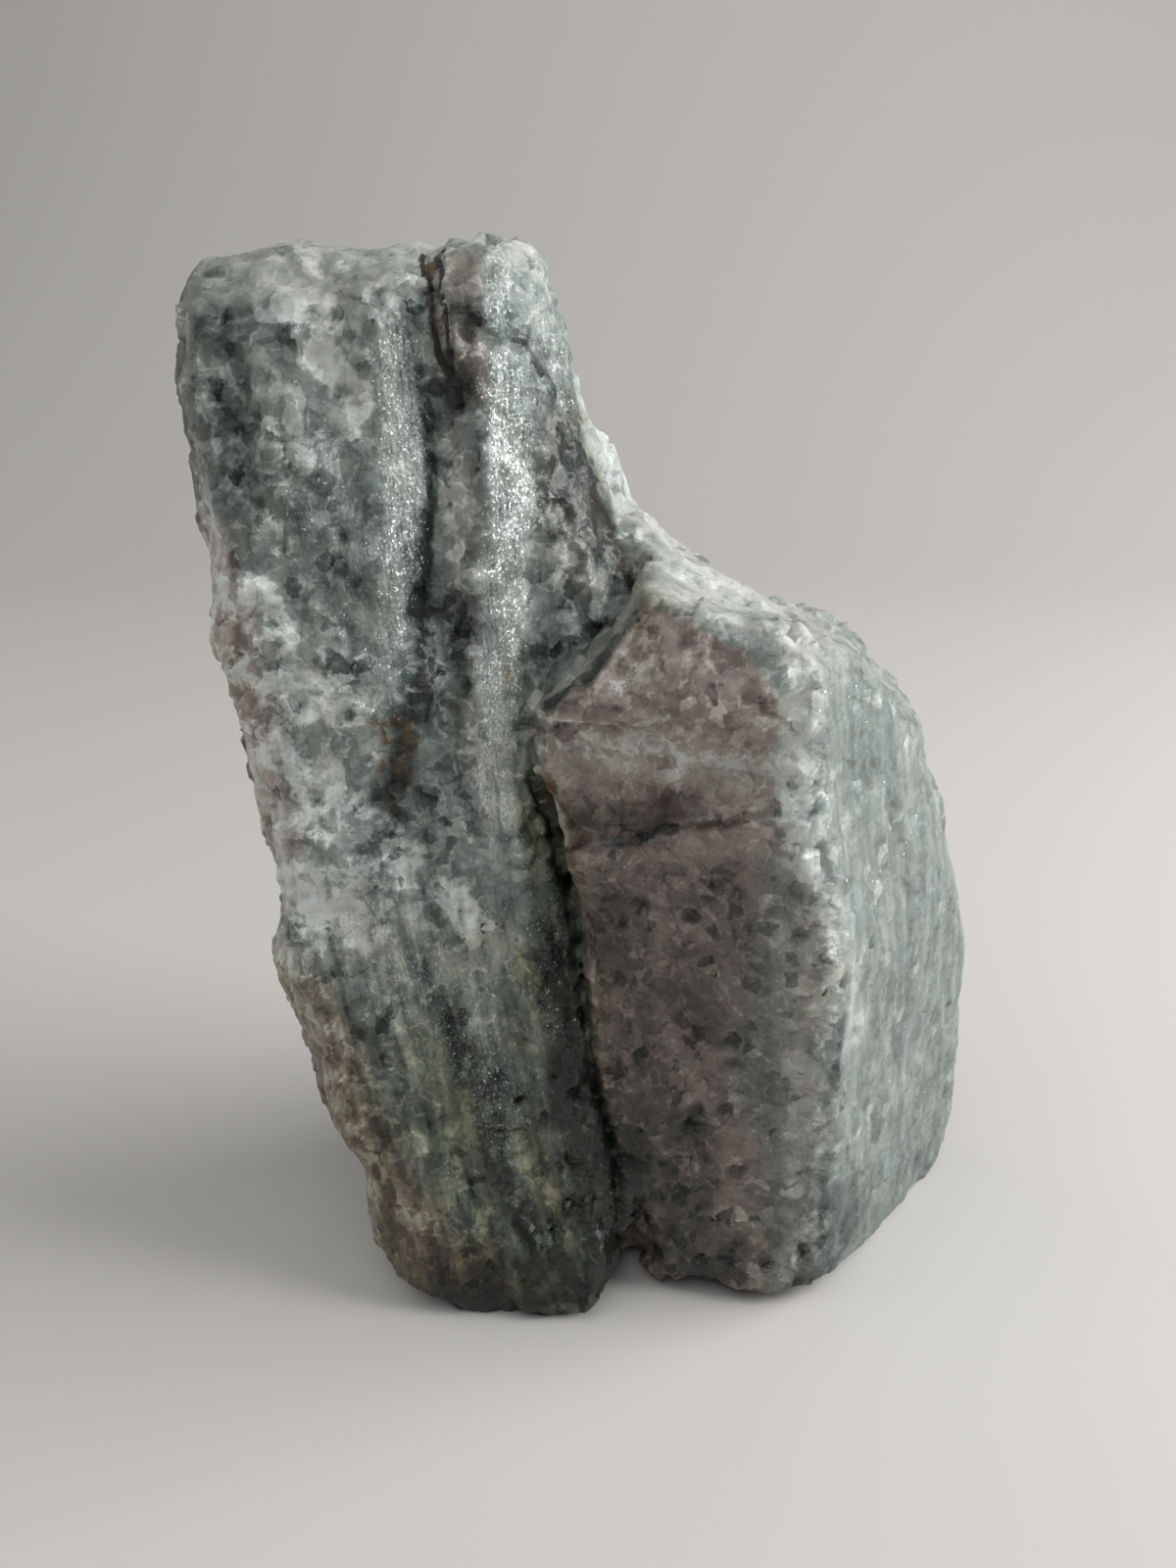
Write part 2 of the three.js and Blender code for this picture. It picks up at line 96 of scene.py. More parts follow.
# These run to the right, as (place, height): the lip across the block, the fold below it, the upper edge of
# the slab's hollow, and the block's top.
LEDGE = [
    (-9, 73.2), (-4.9, 74.0), (-1.9, 74.2), (1.0, 74.3), (3.4, 75.1), (6.7, 75.6), (12, 76.5), (18, 77),
]
CREASE = [
    (-7, 59.0), (-5, 59.6), (-0.9, 60.1), (2.1, 61.2), (5.1, 62.7), (7, 63.9), (11.8, 65.6), (16.4, 66.8),
    (20, 67.5),
]
HOLLOW_EDGE = [(-20.5, 86.4), (-19.5, 85.9), (-18.3, 85.0), (-16.1, 85.0), (-14.4, 84.0), (-13.2, 81.0)]
BLOCK_TOP = [
    (-3, 88), (3.3, 86.2), (6.5, 85.8), (9.6, 84.1), (12.5, 82.4), (14.7, 80), (17, 76.5), (24, 74),
]
# By height: how wide the green strip beside the ridge is, and over what width it turns smoky.
GREEN_STRIP = [(0, 2.5), (22, 4.0), (36, 7.0), (50, 7.0), (58, 3.0), (62, 1.0), (75, 0.5)]
FADE = [(58, 4.5), (68, 1.2)]
# The upright sheets of the rock lean to the right towards the foot, by this much and ever faster.
STONE_HEIGHT, GRAIN_LEAN, GRAIN_LEAN_POWER = 119.0, 15.0, 1.8

# Each pattern has its own seed.
WAVER_SEED, JAG_SEED, WOBBLE_SEED, UNEVEN_SEED, RAGGED_SEED = 11, 27, 31, 32, 33
LUMP_SEED, GRAIN_SEED, FINE_SEED, SHEET_SEED, PIT_SEED, CHIP_SEED = 21, 22, 23, 24, 25, 36
CLEAR_SEED, CRUSHED_SEED, CLOUD_SEED = 34, 35, 37


def linear(code):
    """Colour of an sRGB hex code such as #8a9a90, in Blender's linear values."""
    parts = [int(code[n:n + 2], 16) / 255 for n in (1, 3, 5)]
    return tuple(c / 12.92 if c <= 0.04045 else ((c + 0.055) / 1.055) ** 2.4 for c in parts)


# ------------------------------------------------------------
# Sizes and colours

def length(name, description, millimetres):
    """A size that can be changed, held in Blender's metres."""
    return bpy.props.FloatProperty(
        name=name, description=description, default=millimetres * MM, unit="LENGTH", subtype="DISTANCE")


def paint(name, description, code):
    """A colour that can be changed, given as an sRGB hex code."""
    return bpy.props.FloatVectorProperty(
        name=name, description=description, default=linear(code), subtype="COLOR")


class StoneShape(bpy.types.PropertyGroup):
    mesh_step: length("Mesh step", "Spacing of the fine surface", 0.6)
    smoothing: bpy.props.IntProperty(
        name="Smoothing passes", description="Passes that blend the coarse facets away", default=7, min=0)
    lump_size: length("Broken lump", "Width of one broken face of the rock", 6.2)
    lump_tilt: bpy.props.FloatProperty(
        name="Lump tilt", description="Steepest slope of a broken face", default=0.07)
    lump_step: length("Lump step", "How far one broken face stands above the next", 0.25)
    grain_size: length("Quartz grain", "Width of one quartz grain", 2.5)
    grain_tilt: bpy.props.FloatProperty(
        name="Grain tilt", description="Steepest slope of a grain's face", default=0.2)
    grain_step: length("Grain step", "How far one grain stands above the next", 0.22)
    fine_relief: length("Fine relief", "Height of the fine unevenness on the grains", 0.12)
    chip_size: length("Edge chip", "Width of a chip along the block's front edge", 3.0)
    chip_tilt: bpy.props.FloatProperty(
        name="Chip tilt", description="Steepest slope of a chip", default=0.12)
    chip_step: length("Chip step", "How far one chip stands above the next", 0.18)
    sheet_relief: length("Sheet relief", "Height of the fine upright ridges of the mica sheets", 0.3)
    crevice_depth: length("Crevice depth", "Depth of the crack between slab and block", 1.3)
    crack_depth: length("Crack depth", "Depth of the thin cracks near the top", 0.5)
    ledge_depth: length("Ledge depth", "How far the block steps back under its lip", 0.9)
    crease_depth: length("Crease depth", "How far the block steps back above its lower fold", 1.3)
    hollow_depth: length("Hollow depth", "How far the slab steps back under its hollow's edge", 1.0)
    pit_size: length("Pit", "Room that one small pit may take up", 3.0)
    pit_depth: length("Pit depth", "Depth of the small pits in the broken faces", 0.5)
    margin: length("Margin", "How far the relief may stand out past the packed solid's box", 0.8)
    foot_height: length("Foot height", "The surface stays plain up to this height", 0.3)


class StoneColours(bpy.types.PropertyGroup):
    deep: paint("Deep green", "Clear quartz over dark mica", "#202722")
    slate: paint("Slate green", "Quartz crowded with green mica", "#566260")
    sage: paint("Sage green", "Most of the quartz", "#85908b")
    pale: paint("Pale green", "Quartz with little mica", "#bac0bc")
    milk: paint("Milky quartz", "Crushed and milky quartz", "#e2e7e2")
    smoke: paint("Smoke", "Clear smoky quartz", "#564d45")
    mauve: paint("Mauve grey", "Most of the smoky quartz", "#877d75")
    blush: paint("Blush grey", "Milky smoky quartz", "#b8b0a6")
    # Olive is a stain of the mica in places, and painted shade where it darkens the strip beside the block
    # and the slab's foot.
    olive: paint("Olive", "Tint of mica stained by water", "#b8b394")
    rust: paint("Rust brown", "Tint of an iron stain", "#9b795a")
    crack: paint("Crack", "Dirt in an open crack", "#241c16")
    mica: paint("Mica", "Pearly flakes of green mica", "#d8e2e1")


class StageSettings(bpy.types.PropertyGroup):
    floor_colour: paint("Floor", "Colour of the plain floor", "#c4c1bd")
    key_power: bpy.props.FloatProperty(
        name="Window light", description="Power of the large soft light at the right", default=4.8,
        unit="POWER")
    fill_power: bpy.props.FloatProperty(
        name="Overhead light", description="Power of the wide soft light above the front", default=1.85,
        unit="POWER")
    side_power: bpy.props.FloatProperty(
        name="Left light", description="Power of the weak light that opens the shadows at the left",
        default=0.5, unit="POWER")
    sky: bpy.props.FloatProperty(
        name="Room light", description="Strength of the even light from all round", default=0.095)


# ------------------------------------------------------------
# Patterns worked out point by point, all in millimetres

def chances(cells, seed, count):
    """Numbers from 0 to 1 for whole-numbered cells, always the same for one cell and seed."""
    key = np.full(len(cells), seed, np.uint32)
    for axis, prime in enumerate((73856093, 19349663, 83492791)):
        key ^= (cells[:, axis] & 0xFFFFFFFF).astype(np.uint32) * np.uint32(prime)
    rows = []
    for _ in range(count):
        for shift, factor in ((16, 0x7FEB352D), (15, 0x846CA68B)):
            key = (key ^ (key >> np.uint32(shift))) * np.uint32(factor)
        key = (key ^ (key >> np.uint32(16))) + np.uint32(0x9E3779B9)
        rows.append(key / 2.0 ** 32)
    return np.stack(rows, axis=1)


def swelling(points, size, seed, octaves=1):
    """Smooth unevenness from -1 to 1 with swellings of the given size."""
    total, share, reach = np.zeros(len(points)), 1.0, 0.0
    for octave in range(octaves):
        scaled = points / (np.asarray(size) / 2 ** octave)
        low = np.floor(scaled).astype(np.int64)
        part = scaled - low
        part = part * part * (3 - 2 * part)
        value = np.zeros(len(points))
        for corner in itertools.product((0, 1), repeat=3):
            weight = np.prod(np.where(corner, part, 1 - part), axis=1)
            value += weight * chances(low + corner, seed + octave, 1)[:, 0]
        total += share * (2 * value - 1)
        reach += share
        share /= 2
    return total / reach


def grains(points, size, seed):
    """For each point: four numbers of its own grain, and the way from the grain's middle."""
    scaled = points / np.asarray(size)
    low = np.floor(scaled).astype(np.int64)
    nearest = np.full(len(points), np.inf)
    away, numbers = np.zeros((len(points), 3)), np.zeros((len(points), 4))
    for step in itertools.product((-1, 0, 1), repeat=3):
        found = chances(low + step, seed, 7)
        offset = scaled - (low + step + found[:, :3])
        distance = np.linalg.norm(offset, axis=1)
        closer = distance < nearest
        nearest = np.where(closer, distance, nearest)
        away[closer] = offset[closer]
        numbers[closer] = found[closer, 3:]
    return numbers, away * size


def facets(points, size, tilt, step, seed):
    """Height of a surface broken into flat tilted grains."""
    numbers, away = grains(points, size, seed)
    slope = (numbers[:, :3] * 2 - 1) * tilt
    return (away * slope).sum(axis=1) + (numbers[:, 3] - 0.5) * step


def ramp(value, start, end):
    """Smooth rise from 0 to 1 as value goes from start to end, in either direction."""
    t = np.clip((value - start) / (end - start), 0, 1)
    return t * t * (3 - 2 * t)


def along(pairs, key):
    """Value read off a line of (key, value) corners."""
    keys, values = zip(*pairs)
    return np.interp(key, keys, values)


def from_line(x, z, line):
    """Distance from each point to a line of (x, z) corners, seen from the front."""
    nearest = np.full(len(x), np.inf)
    for (ax, az), (bx, bz) in zip(line, line[1:]):
        ex, ez = bx - ax, bz - az
        t = np.clip(((x - ax) * ex + (z - az) * ez) / max(ex * ex + ez * ez, 1e-9), 0, 1)
        nearest = np.minimum(nearest, np.hypot(x - ax - ex * t, z - az - ez * t))
    return nearest


def from_lines(x, z, lines):
    """Distance from each point to the nearest of several lines."""
    return np.min([from_line(x, z, line) for line in lines], axis=0)


def across_grain(x, z):
    """Place across the upright sheets of the rock, which lean to the right towards the foot."""
    return x - GRAIN_LEAN * (1 - np.clip(z / STONE_HEIGHT, 0, 1)) ** GRAIN_LEAN_POWER


# ------------------------------------------------------------
# Where the rock changes, and where light and shade are painted on it. The thin lines have (x, z) corners
# seen from the front; each marking is a share, half its width in millimetres, and its line of corners.

CRACKS = [
    [(-18.2, 119), (-17.6, 114.5), (-17.3, 111.6), (-16.6, 108.7), (-16.2, 105), (-16.2, 103)],
    [(-19.6, 118), (-19.0, 115.5), (-19.2, 113), (-18.8, 111.3), (-18.1, 109), (-16.9, 106.6)],
]
# Thin pale lines: the crushed lip of the ledge, and painted light along the block's left edge beside the
# seam, where the edge catches the light.
PALE_LINES = [
    [(x, z) for x, z in LEDGE if x < 5],
    [(x + 0.9, z) for z, x in SEAM if z > 12],
]
# Thin dark lines: the black mica specks, and painted shade in the slab's groove, in the block's crease and
# in the seam between slab and block.
DARK_LINES = [
    [(-19.3, 99), (-18.9, 94), (-19.5, 91), (-20.0, 87), (-20.3, 82), (-20.0, 77)],
    [(x, z) for z, x in SPECKLED_LINE if z < 104],
    [(x, z + 0.2) for x, z in CREASE],
    [(x - 0.3, z) for z, x in SEAM if z > 66 and z < 86],
    [(x - 1.0, z) for z, x in SEAM if z < 70],
]
MARKS = {
    # Iron stains, patchy because they soak in between the grains.
    "rust": [
        (0.85, 2.6, [(-23.3, 71.6), (-22.8, 68.3), (-23.4, 64.8)]),
        (0.65, 1.5, [(-24.6, 72.4), (-23.2, 70.9)]),
        (0.65, 1.3, [(-22.9, 65.1), (-24, 62.6)]),
        (0.5, 1.4, [(-10.8, 77.5), (-10.2, 74.4), (-10.4, 70.4)]),
        (0.6, 0.4, [(-11.5, 52.6), (-10.9, 50.6), (-10.5, 48.6)]),
        (0.7, 0.9, [(-19, 117), (-18, 111), (-17, 106)]),
        (0.55, 0.9, [(-7.6, 44), (-6.6, 38), (-6, 33)]),
        (0.5, 0.8, [(-7.6, 69), (-6.9, 65)]),
        (0.48, 2.8, [(-5, 62), (0, 63.4), (6, 65.5), (12, 67)]),
    ],
    # The olive tint: a stain of the mica in places, and painted shade where it darkens the strip beside the
    # block and the slab's lower part and foot.
    "olive": [
        (0.7, 2.2, [(-9, 45), (-7.3, 40), (-6, 34), (-5.2, 29)]),
        (0.45, 1.9, [(-10.4, 77), (-10, 71), (-9.6, 64)]),
        (0.6, 3.6, [(-17.5, 35), (-14, 24), (-12, 14)]),
        (0.65, 3.4, [(-7.5, 62), (-6.5, 50), (-5, 38), (-3.5, 26), (-2.5, 14)]),
        (0.9, 6, [(-20, 5), (-8, 6)]),
        (0.5, 0.9, [(-4.4, 103), (-3, 97), (-1.2, 91), (1, 86)]),
        (0.4, 1.6, [(2.6, 86.5), (2, 84)]),
    ],
    # Black mica in specks.
    "specks": [
        (0.6, 0.9, [(-5.4, 104.5), (-4.4, 100), (-3, 95.5)]),
        (0.8, 0.8, [(-2.7, 94), (-1.6, 91), (-0.4, 88.4), (0.8, 85.9), (1.6, 84.2)]),
        (0.3, 2.2, [(-3.2, 98), (-1.2, 92.5)]),
        (0.25, 4, [(-18, 40), (-13, 24)]),
    ],
    # Dark patches with ragged edges: clear dark quartz, and painted shade in the slab's groove, in the
    # crevice beside the block and along the slab's foot.
    "dark": [
        (0.95, 0.9, [(-21.2, 110.5), (-20, 106), (-19.2, 102), (-18.9, 97.4), (-18.8, 94),
                     (-19.6, 91), (-19.8, 88.5)]),
        (1, 1.3, [(-20.2, 86), (-19.6, 83.3), (-19.8, 80), (-19.8, 77), (-20.6, 73.2)]),
        (0.7, 1.8, [(-17.8, 84), (-16.6, 82), (-16.8, 77)]),
        (0.8, 2.6, [(-40, 111), (-39, 105), (-38.6, 101)]),
        (0.6, 3, [(-39.5, 99), (-38, 96)]),
        (0.35, 1.6, [(-33, 85.5), (-30, 84.5), (-27.5, 80)]),
        (0.5, 1, [(-7, 60), (-6.4, 52)]),
        (0.8, 1.6, [(-2.5, 89), (0.5, 86.6)]),
        (0.9, 1.2, [(-17, 108), (-16.6, 104)]),
        (1, 2.6, [(-6.8, 45), (-5.4, 36), (-4.4, 28.7), (-2.8, 21), (-1.6, 14), (-1.4, 4)]),
        (1, 2.8, [(-1.6, 23), (-0.8, 16), (-0.6, 6)]),
        (0.9, 1.8, [(1.8, 23), (2.6, 10)]),
        (1, 3, [(-18, 1), (-10, 2)]),
        (0.7, 1.8, [(-21.2, 44.4), (-20, 40), (-17.4, 36), (-15.8, 31.6)]),
        (0.5, 2.2, [(-14.8, 27), (-13.6, 22), (-12.1, 17)]),
        (0.6, 0.5, [(-4.7, 102.6), (-3.7, 98.2), (-2.3, 94.1), (-0.8, 91), (0.1, 88.6), (1.4, 84.6)]),
        (0.6, 1.6, [(-8.5, 80), (-7.5, 77)]),
        (0.45, 1.3, [(-15.4, 115), (-15, 110), (-14.9, 105.5)]),
        (0.4, 2.2, [(-6.4, 103), (-4.2, 96), (-2.9, 90)]),
        (0.75, 1.4, [(-23.2, 69.6), (-22.6, 67.2), (-23.2, 65.6)]),
        (0.8, 1.6, [(-14, 31.2), (-13.8, 27.2), (-13.6, 21.3)]),
        (0.8, 1.6, [(-10.2, 14.8), (-9.2, 7.1)]),
    ],
    # Crushed white patches with ragged edges.
    "milk": [
        (0.9, 1.8, [(-34.6, 114), (-32, 113), (-29, 112.6)]),
        (0.8, 1.3, [(-32.4, 99.3), (-31.2, 98.4)]),
        (0.9, 1.8, [(-29.3, 108), (-27.6, 106), (-26, 104.6)]),
        (0.7, 2.4, [(-39, 84.8), (-36.6, 84.6), (-35.8, 80.6)]),
        (0.55, 3, [(-38, 77), (-34, 74), (-30, 74.5)]),
        (0.6, 3.2, [(-36, 69), (-32, 66), (-31.6, 62)]),
        (0.35, 2.4, [(-28, 62), (-25, 59)]),
        (0.95, 2.6, [(-33.4, 54), (-35.6, 52)]),
        (0.8, 2.4, [(-34, 51), (-30.5, 52.5)]),
        (0.8, 1.9, [(-18.8, 53.6), (-16.6, 51), (-15.2, 48)]),
        (0.5, 1.6, [(-29.8, 57.4), (-26, 56), (-22, 57)]),
        (0.35, 0.8, [(-13.6, 114), (-13.4, 107)]),
        (0.35, 2, [(-8, 96), (-7.4, 90), (-6.6, 87)]),
        (0.5, 2.2, [(-36, 44), (-33, 50), (-27.6, 48), (-25, 55)]),
        (0.45, 2, [(-4.5, 71.4), (2, 71), (10, 71.2), (15.5, 71.4)]),
        (0.3, 2.6, [(-1, 78), (2, 81)]),
        (0.6, 1, [(-8, 17.5), (-7.2, 15.5)]),
        (0.5, 1.6, [(-30.4, 26), (-27, 19)]),
    ],
    # Evenly paler and evenly darker parts: partly the rock's own tone, partly painted light on lit edges
    # and painted shade in the crevice beside the block, in hollows and towards the foot.
    "pale": [
        (0.7, 2.4, [(-7, 70.6), (1, 70.4), (9, 70.6), (16.3, 71.2)]),
        (0.8, 3, [(6, 69.5), (12, 69.8), (17, 70)]),
        (0.7, 1, [(-9, 73), (-5, 74.2), (3, 75.1)]),
        (0.5, 1.2, [(-4, 72.8), (2, 73.4), (7, 74.2)]),
        (0.5, 1.6, [(6, 67), (12, 68), (18, 69)]),
        (1, 2, [(-31.3, 38), (-31.7, 31)]),
        (0.4, 1.8, [(2, 58.6), (9, 61.5), (16, 64)]),
        (0.6, 2.2, [(-13.6, 60), (-13.5, 54)]),
        (0.8, 2.2, [(18, 74), (18.3, 67)]),
        (0.7, 2.4, [(11.5, 84.5), (15.5, 80)]),
        (0.8, 2.6, [(-9, 119), (-8.9, 112)]),
        (0.9, 2, [(-28, 110), (-28.3, 103)]),
        (0.6, 1.6, [(-16.8, 97), (-17.1, 88), (-17.3, 84)]),
        (1, 1.9, [(-13.4, 86), (-13.2, 82), (-13.3, 76)]),
        (0.8, 2.4, [(-30.2, 61), (-30.3, 55)]),
        (1, 3.4, [(-35, 56), (-33, 51), (-30.5, 51)]),
        (0.4, 1.6, [(-25.6, 81), (-25.5, 68)]),
        (0.35, 2.4, [(-37, 92), (-33, 90), (-29, 89)]),
        (0.8, 2.4, [(-37.5, 81), (-37.9, 76)]),
        (0.6, 1.6, [(-29.2, 81), (-29.2, 79)]),
        (0.5, 1.4, [(-20.8, 105), (-20.9, 102)]),
        (0.6, 2, [(-9.6, 60), (-9.3, 52)]),
        (0.6, 1.8, [(-27, 43), (-27, 41)]),
        (0.2, 5, [(7, 57), (11, 50)]),
        (0.5, 2, [(-22.7, 38.5), (-22.7, 35)]),
        (0.65, 2.8, [(-18, 52), (-17.5, 46.5), (-14, 45.5)]),
        (0.9, 2.4, [(-23, 23), (-23.3, 15), (-23.6, 7)]),
        (0.6, 2, [(-28.2, 18), (-28, 14)]),
        (0.8, 2.2, [(17.4, 82), (17.8, 78), (18.4, 73), (19.3, 66), (21.5, 57), (23.5, 48), (25.5, 40)]),
        (0.6, 3, [(6, 82.5), (11, 83)]),
        (0.75, 2.4, [(17.8, 68), (18.6, 57), (18.9, 48), (19.8, 38)]),
        (1, 2.4, [(19.8, 38), (21, 28), (22, 14), (22.1, 6)]),
        (1, 2.6, [(-42.6, 93), (-42.2, 84), (-40.2, 74), (-38.6, 66), (-36, 59)]),
        (0.6, 3.2, [(-38.5, 46), (-34.6, 38), (-31.3, 30)]),
        (0.3, 2.6, [(-31.3, 30), (-29.6, 25), (-26.5, 13)]),
        (0.9, 3, [(-36, 57), (-33, 56.5), (-29, 55)]),
        (1, 2.6, [(-22.7, 56), (-21.5, 50)]),
        (0.5, 2.4, [(-24, 23), (-21.6, 15)]),
        (0.8, 2.2, [(-16.9, 97.5), (-17, 89)]),
        (0.6, 1.6, [(-9, 90), (-9, 84)]),
        (0.7, 3, [(-11, 73), (-11.2, 63)]),
        (0.25, 4, [(10, 40), (12, 22)]),
        (0.6, 1.3, [(-5, 51.4), (-4.6, 48)]),
        (0.6, 1.3, [(18.2, 70.2), (18.4, 68.3)]),
        (0.6, 1.3, [(18.9, 57.3), (19.2, 55.1)]),
        (0.45, 1.8, [(-2.4, 76.4), (0.5, 78), (3, 80)]),
        (0.7, 1.8, [(-22.8, 8), (-18.8, 8)]),
    ],
    "shade": [
        (0.8, 1.6, [(-20.8, 83), (-20.6, 77.8), (-20.8, 72)]),
        (1, 1.7, [(-22, 73), (-22.6, 69), (-22.8, 66), (-24.2, 62.6)]),
        (0.6, 1.4, [(-5.4, 79), (-4.6, 76)]),
        (0.8, 1.8, [(-14.7, 116), (-15.2, 106)]),
        (0.75, 2.2, [(-12.4, 114.5), (-12, 107)]),
        (0.8, 2.6, [(-19.5, 72), (-20.5, 66)]),
        (1, 2.6, [(-9, 108), (-8.4, 103), (-7.2, 99)]),
        (1, 2.4, [(-5.4, 97), (-4.6, 92.5), (-0.8, 89), (3.2, 87.4)]),
        (0.9, 2.2, [(3.4, 87), (8.1, 85.3)]),
        (1, 1.4, [(-17.4, 111), (-16.4, 104)]),
        (0.2, 3, [(-4.5, 77), (-0.8, 80), (2.9, 82)]),
        (0.6, 2.2, [(-28.5, 86), (-25, 86)]),
        (1, 2, [(-6, 62.3), (-1, 62.3), (3.5, 63.2)]),
        (0.9, 1.2, [(-20.8, 89.5), (-20.9, 80.5)]),
        (1, 1.8, [(-17.4, 80.5), (-17.6, 71)]),
        (0.5, 2.6, [(-24, 113), (-24, 108)]),
        (0.4, 4, [(-40, 113), (-36, 110)]),
        (0.6, 3.6, [(0, 52), (1, 40), (3, 28), (5, 14), (4, 5)]),
        (1, 2.6, [(-5.2, 46), (-5, 42), (-4.8, 28), (-4.2, 14)]),
        (1, 2.4, [(-3, 30), (-0.8, 21), (-0.6, 11), (0, 5)]),
        (1, 2.2, [(3.6, 25), (3.7, 10)]),
        (1, 1.8, [(-14, 30), (-14.1, 21)]),
        (0.6, 1.5, [(-18.4, 33), (-18.4, 27)]),
        (1, 3.6, [(-17, 1), (-10, 3)]),
        (0.8, 3, [(-9.8, 14), (-9.8, 4)]),
        (1, 3.4, [(26, 15), (28, 9), (24, 4)]),
        (0.6, 3, [(8, 46), (9, 38)]),
        (1, 4, [(8.4, 24), (8.6, 12), (12, 5)]),
        (0.9, 1.4, [(-5.8, 63), (-5.4, 59)]),
        (0.8, 5, [(-20, 4), (-8, 5), (-1, 9)]),
        (0.5, 2.6, [(-14, 29), (-13.7, 20), (-12.5, 13)]),
        (0.9, 1.5, [(-5.5, 61.6), (-1, 63.2), (3, 65), (7, 66.3)]),
        (0.5, 1.3, [(-21.9, 70.2), (-21.7, 66.8)]),
        (0.6, 1.6, [(-18.1, 44.2), (-18.2, 39.9)]),
        (0.9, 1.4, [(-1.6, 17.9), (2.8, 15.6)]),
        (0.8, 2.4, [(8.6, 10.8), (14, 7.7)]),
        (0.7, 1.6, [(-26.1, 60), (-25.9, 50.4)]),
        (0.5, 1.8, [(-32.6, 93.8), (-32.5, 88.3)]),
        (1, 1.5, [(-7, 75.2), (-5, 77.1), (-2.9, 79.2), (-0.4, 81.6), (2, 84.7)]),
        (0.6, 1.8, [(-44.6, 108), (-45.2, 101)]),
    ],
    "mauve": [
        (0.75, 2.2, [(-15.4, 115.5), (-14.8, 110), (-14.6, 105.5)]),
        (0.3, 2.6, [(-15.5, 102), (-15, 96), (-14, 90)]),
        (0.45, 2.8, [(-6.8, 100), (-4.6, 93), (-3.4, 86)]),
        (1, 5, [(-43, 88), (-42, 82), (-41, 76), (-40, 68), (-38, 60)]),
        (1, 5.5, [(-36, 40), (-33, 32), (-30, 25), (-26, 16), (-22.5, 8), (-16, 4)]),
        (0.25, 2.6, [(-15.9, 84), (-15.9, 75), (-15.2, 68), (-15.4, 61)]),
    ],
    "mica": [
        (1, 1.9, [(-21.9, 109), (-21.5, 103.7), (-21.5, 98), (-21.8, 92), (-22.6, 87), (-23.8, 81)]),
        (0.35, 2.2, [(-24, 80), (-25, 73)]),
        (0.6, 1.3, [(-12, 118), (-11.9, 112)]),
        (1, 2.4, [(-11.2, 106), (-10.8, 102), (-10.6, 96), (-11.3, 90), (-12.2, 84), (-12.6, 77)]),
        (0.7, 2, [(-12.4, 74), (-13.4, 68), (-13, 62)]),
        (0.6, 1, [(-7.6, 112), (-6.6, 107), (-5.2, 103)]),
        (0.1, 3.2, [(-10, 60), (-9, 50), (-7, 38)]),
        (0.3, 5, [(-24, 48), (-17, 38), (-13, 26)]),
        (0.25, 4, [(-30, 96), (-27, 84)]),
    ],
}


def marked(name, x, z, wobble):
    """Share of one marking at each point: full along its line, and gone beyond its uneven edges."""
    share = np.zeros(len(x))
    for strength, half_width, line in MARKS[name]:
        uneven = from_line(x, z, line) + 0.55 * wobble * min(half_width, 2.0)
        share = np.maximum(share, strength * ramp(uneven, half_width * 1.35, half_width * 0.45))
    return share


def pitted(points, size, share, seed):
    """Depth from 0 to 1 of pits left where grains broke out, in the given share of the grains."""
    wander = np.stack([swelling(points, 1.6, seed + n) for n in (1, 2, 3)], axis=1)
    numbers, away = grains(points + 0.5 * wander, size, seed)
    radius = size * (0.2 + 0.22 * numbers[:, 0])
    return ramp(np.linalg.norm(away, axis=1), radius + 0.3, radius - 0.3) * (numbers[:, 1] < share)


def stone_parts(points, normals):
    """The stone's parts as shares from 0 to 1 at each point, and distances to its lines in millimetres."""
    x, _, z = points.T
    part = SimpleNamespace()
    # Four kinds of unevenness keep the borders between the parts from running straight.
    part.ragged = swelling(points, (2.4, 3.0, 1.8), RAGGED_SEED, 3)
    part.wobble = swelling(points, 3.5, WOBBLE_SEED, 3)
    part.waver = swelling(points, 2.5, WAVER_SEED)
    part.jag = 0.5 * swelling(points, (2.2, 4, 9), JAG_SEED, 2)
    part.forward = ramp(-normals[:, 1], 0.15, 0.6)
    part.front_side = ramp(-normals[:, 1], -0.15, 0.2)
    part.behind = 1 - part.front_side
    part.upward = ramp(normals[:, 2], 0.3, 0.75)
    part.past_seam = x - along(SEAM, z) + 0.5 * part.waver
    part.below_top = along(BLOCK_TOP, x) - z
    part.before_ridge = along(RIDGE, z) - x
    part.on_block = ramp(part.past_seam, -0.2, 0.3)
    part.on_slab = part.forward * (1 - part.on_block)
    part.on_front = part.front_side * part.on_block * ramp(part.before_ridge + part.ragged, -0.5, 0.8)
    part.on_front *= ramp(part.below_top, -0.5, 0.5)
    part.low_front = part.on_front * ramp(z, 66, 58)
    part.on_right = ramp(normals[:, 0], 0.35, 0.65) * (1 - part.upward)
    part.on_right *= ramp(-part.before_ridge, -0.5, 1.5)
    return part


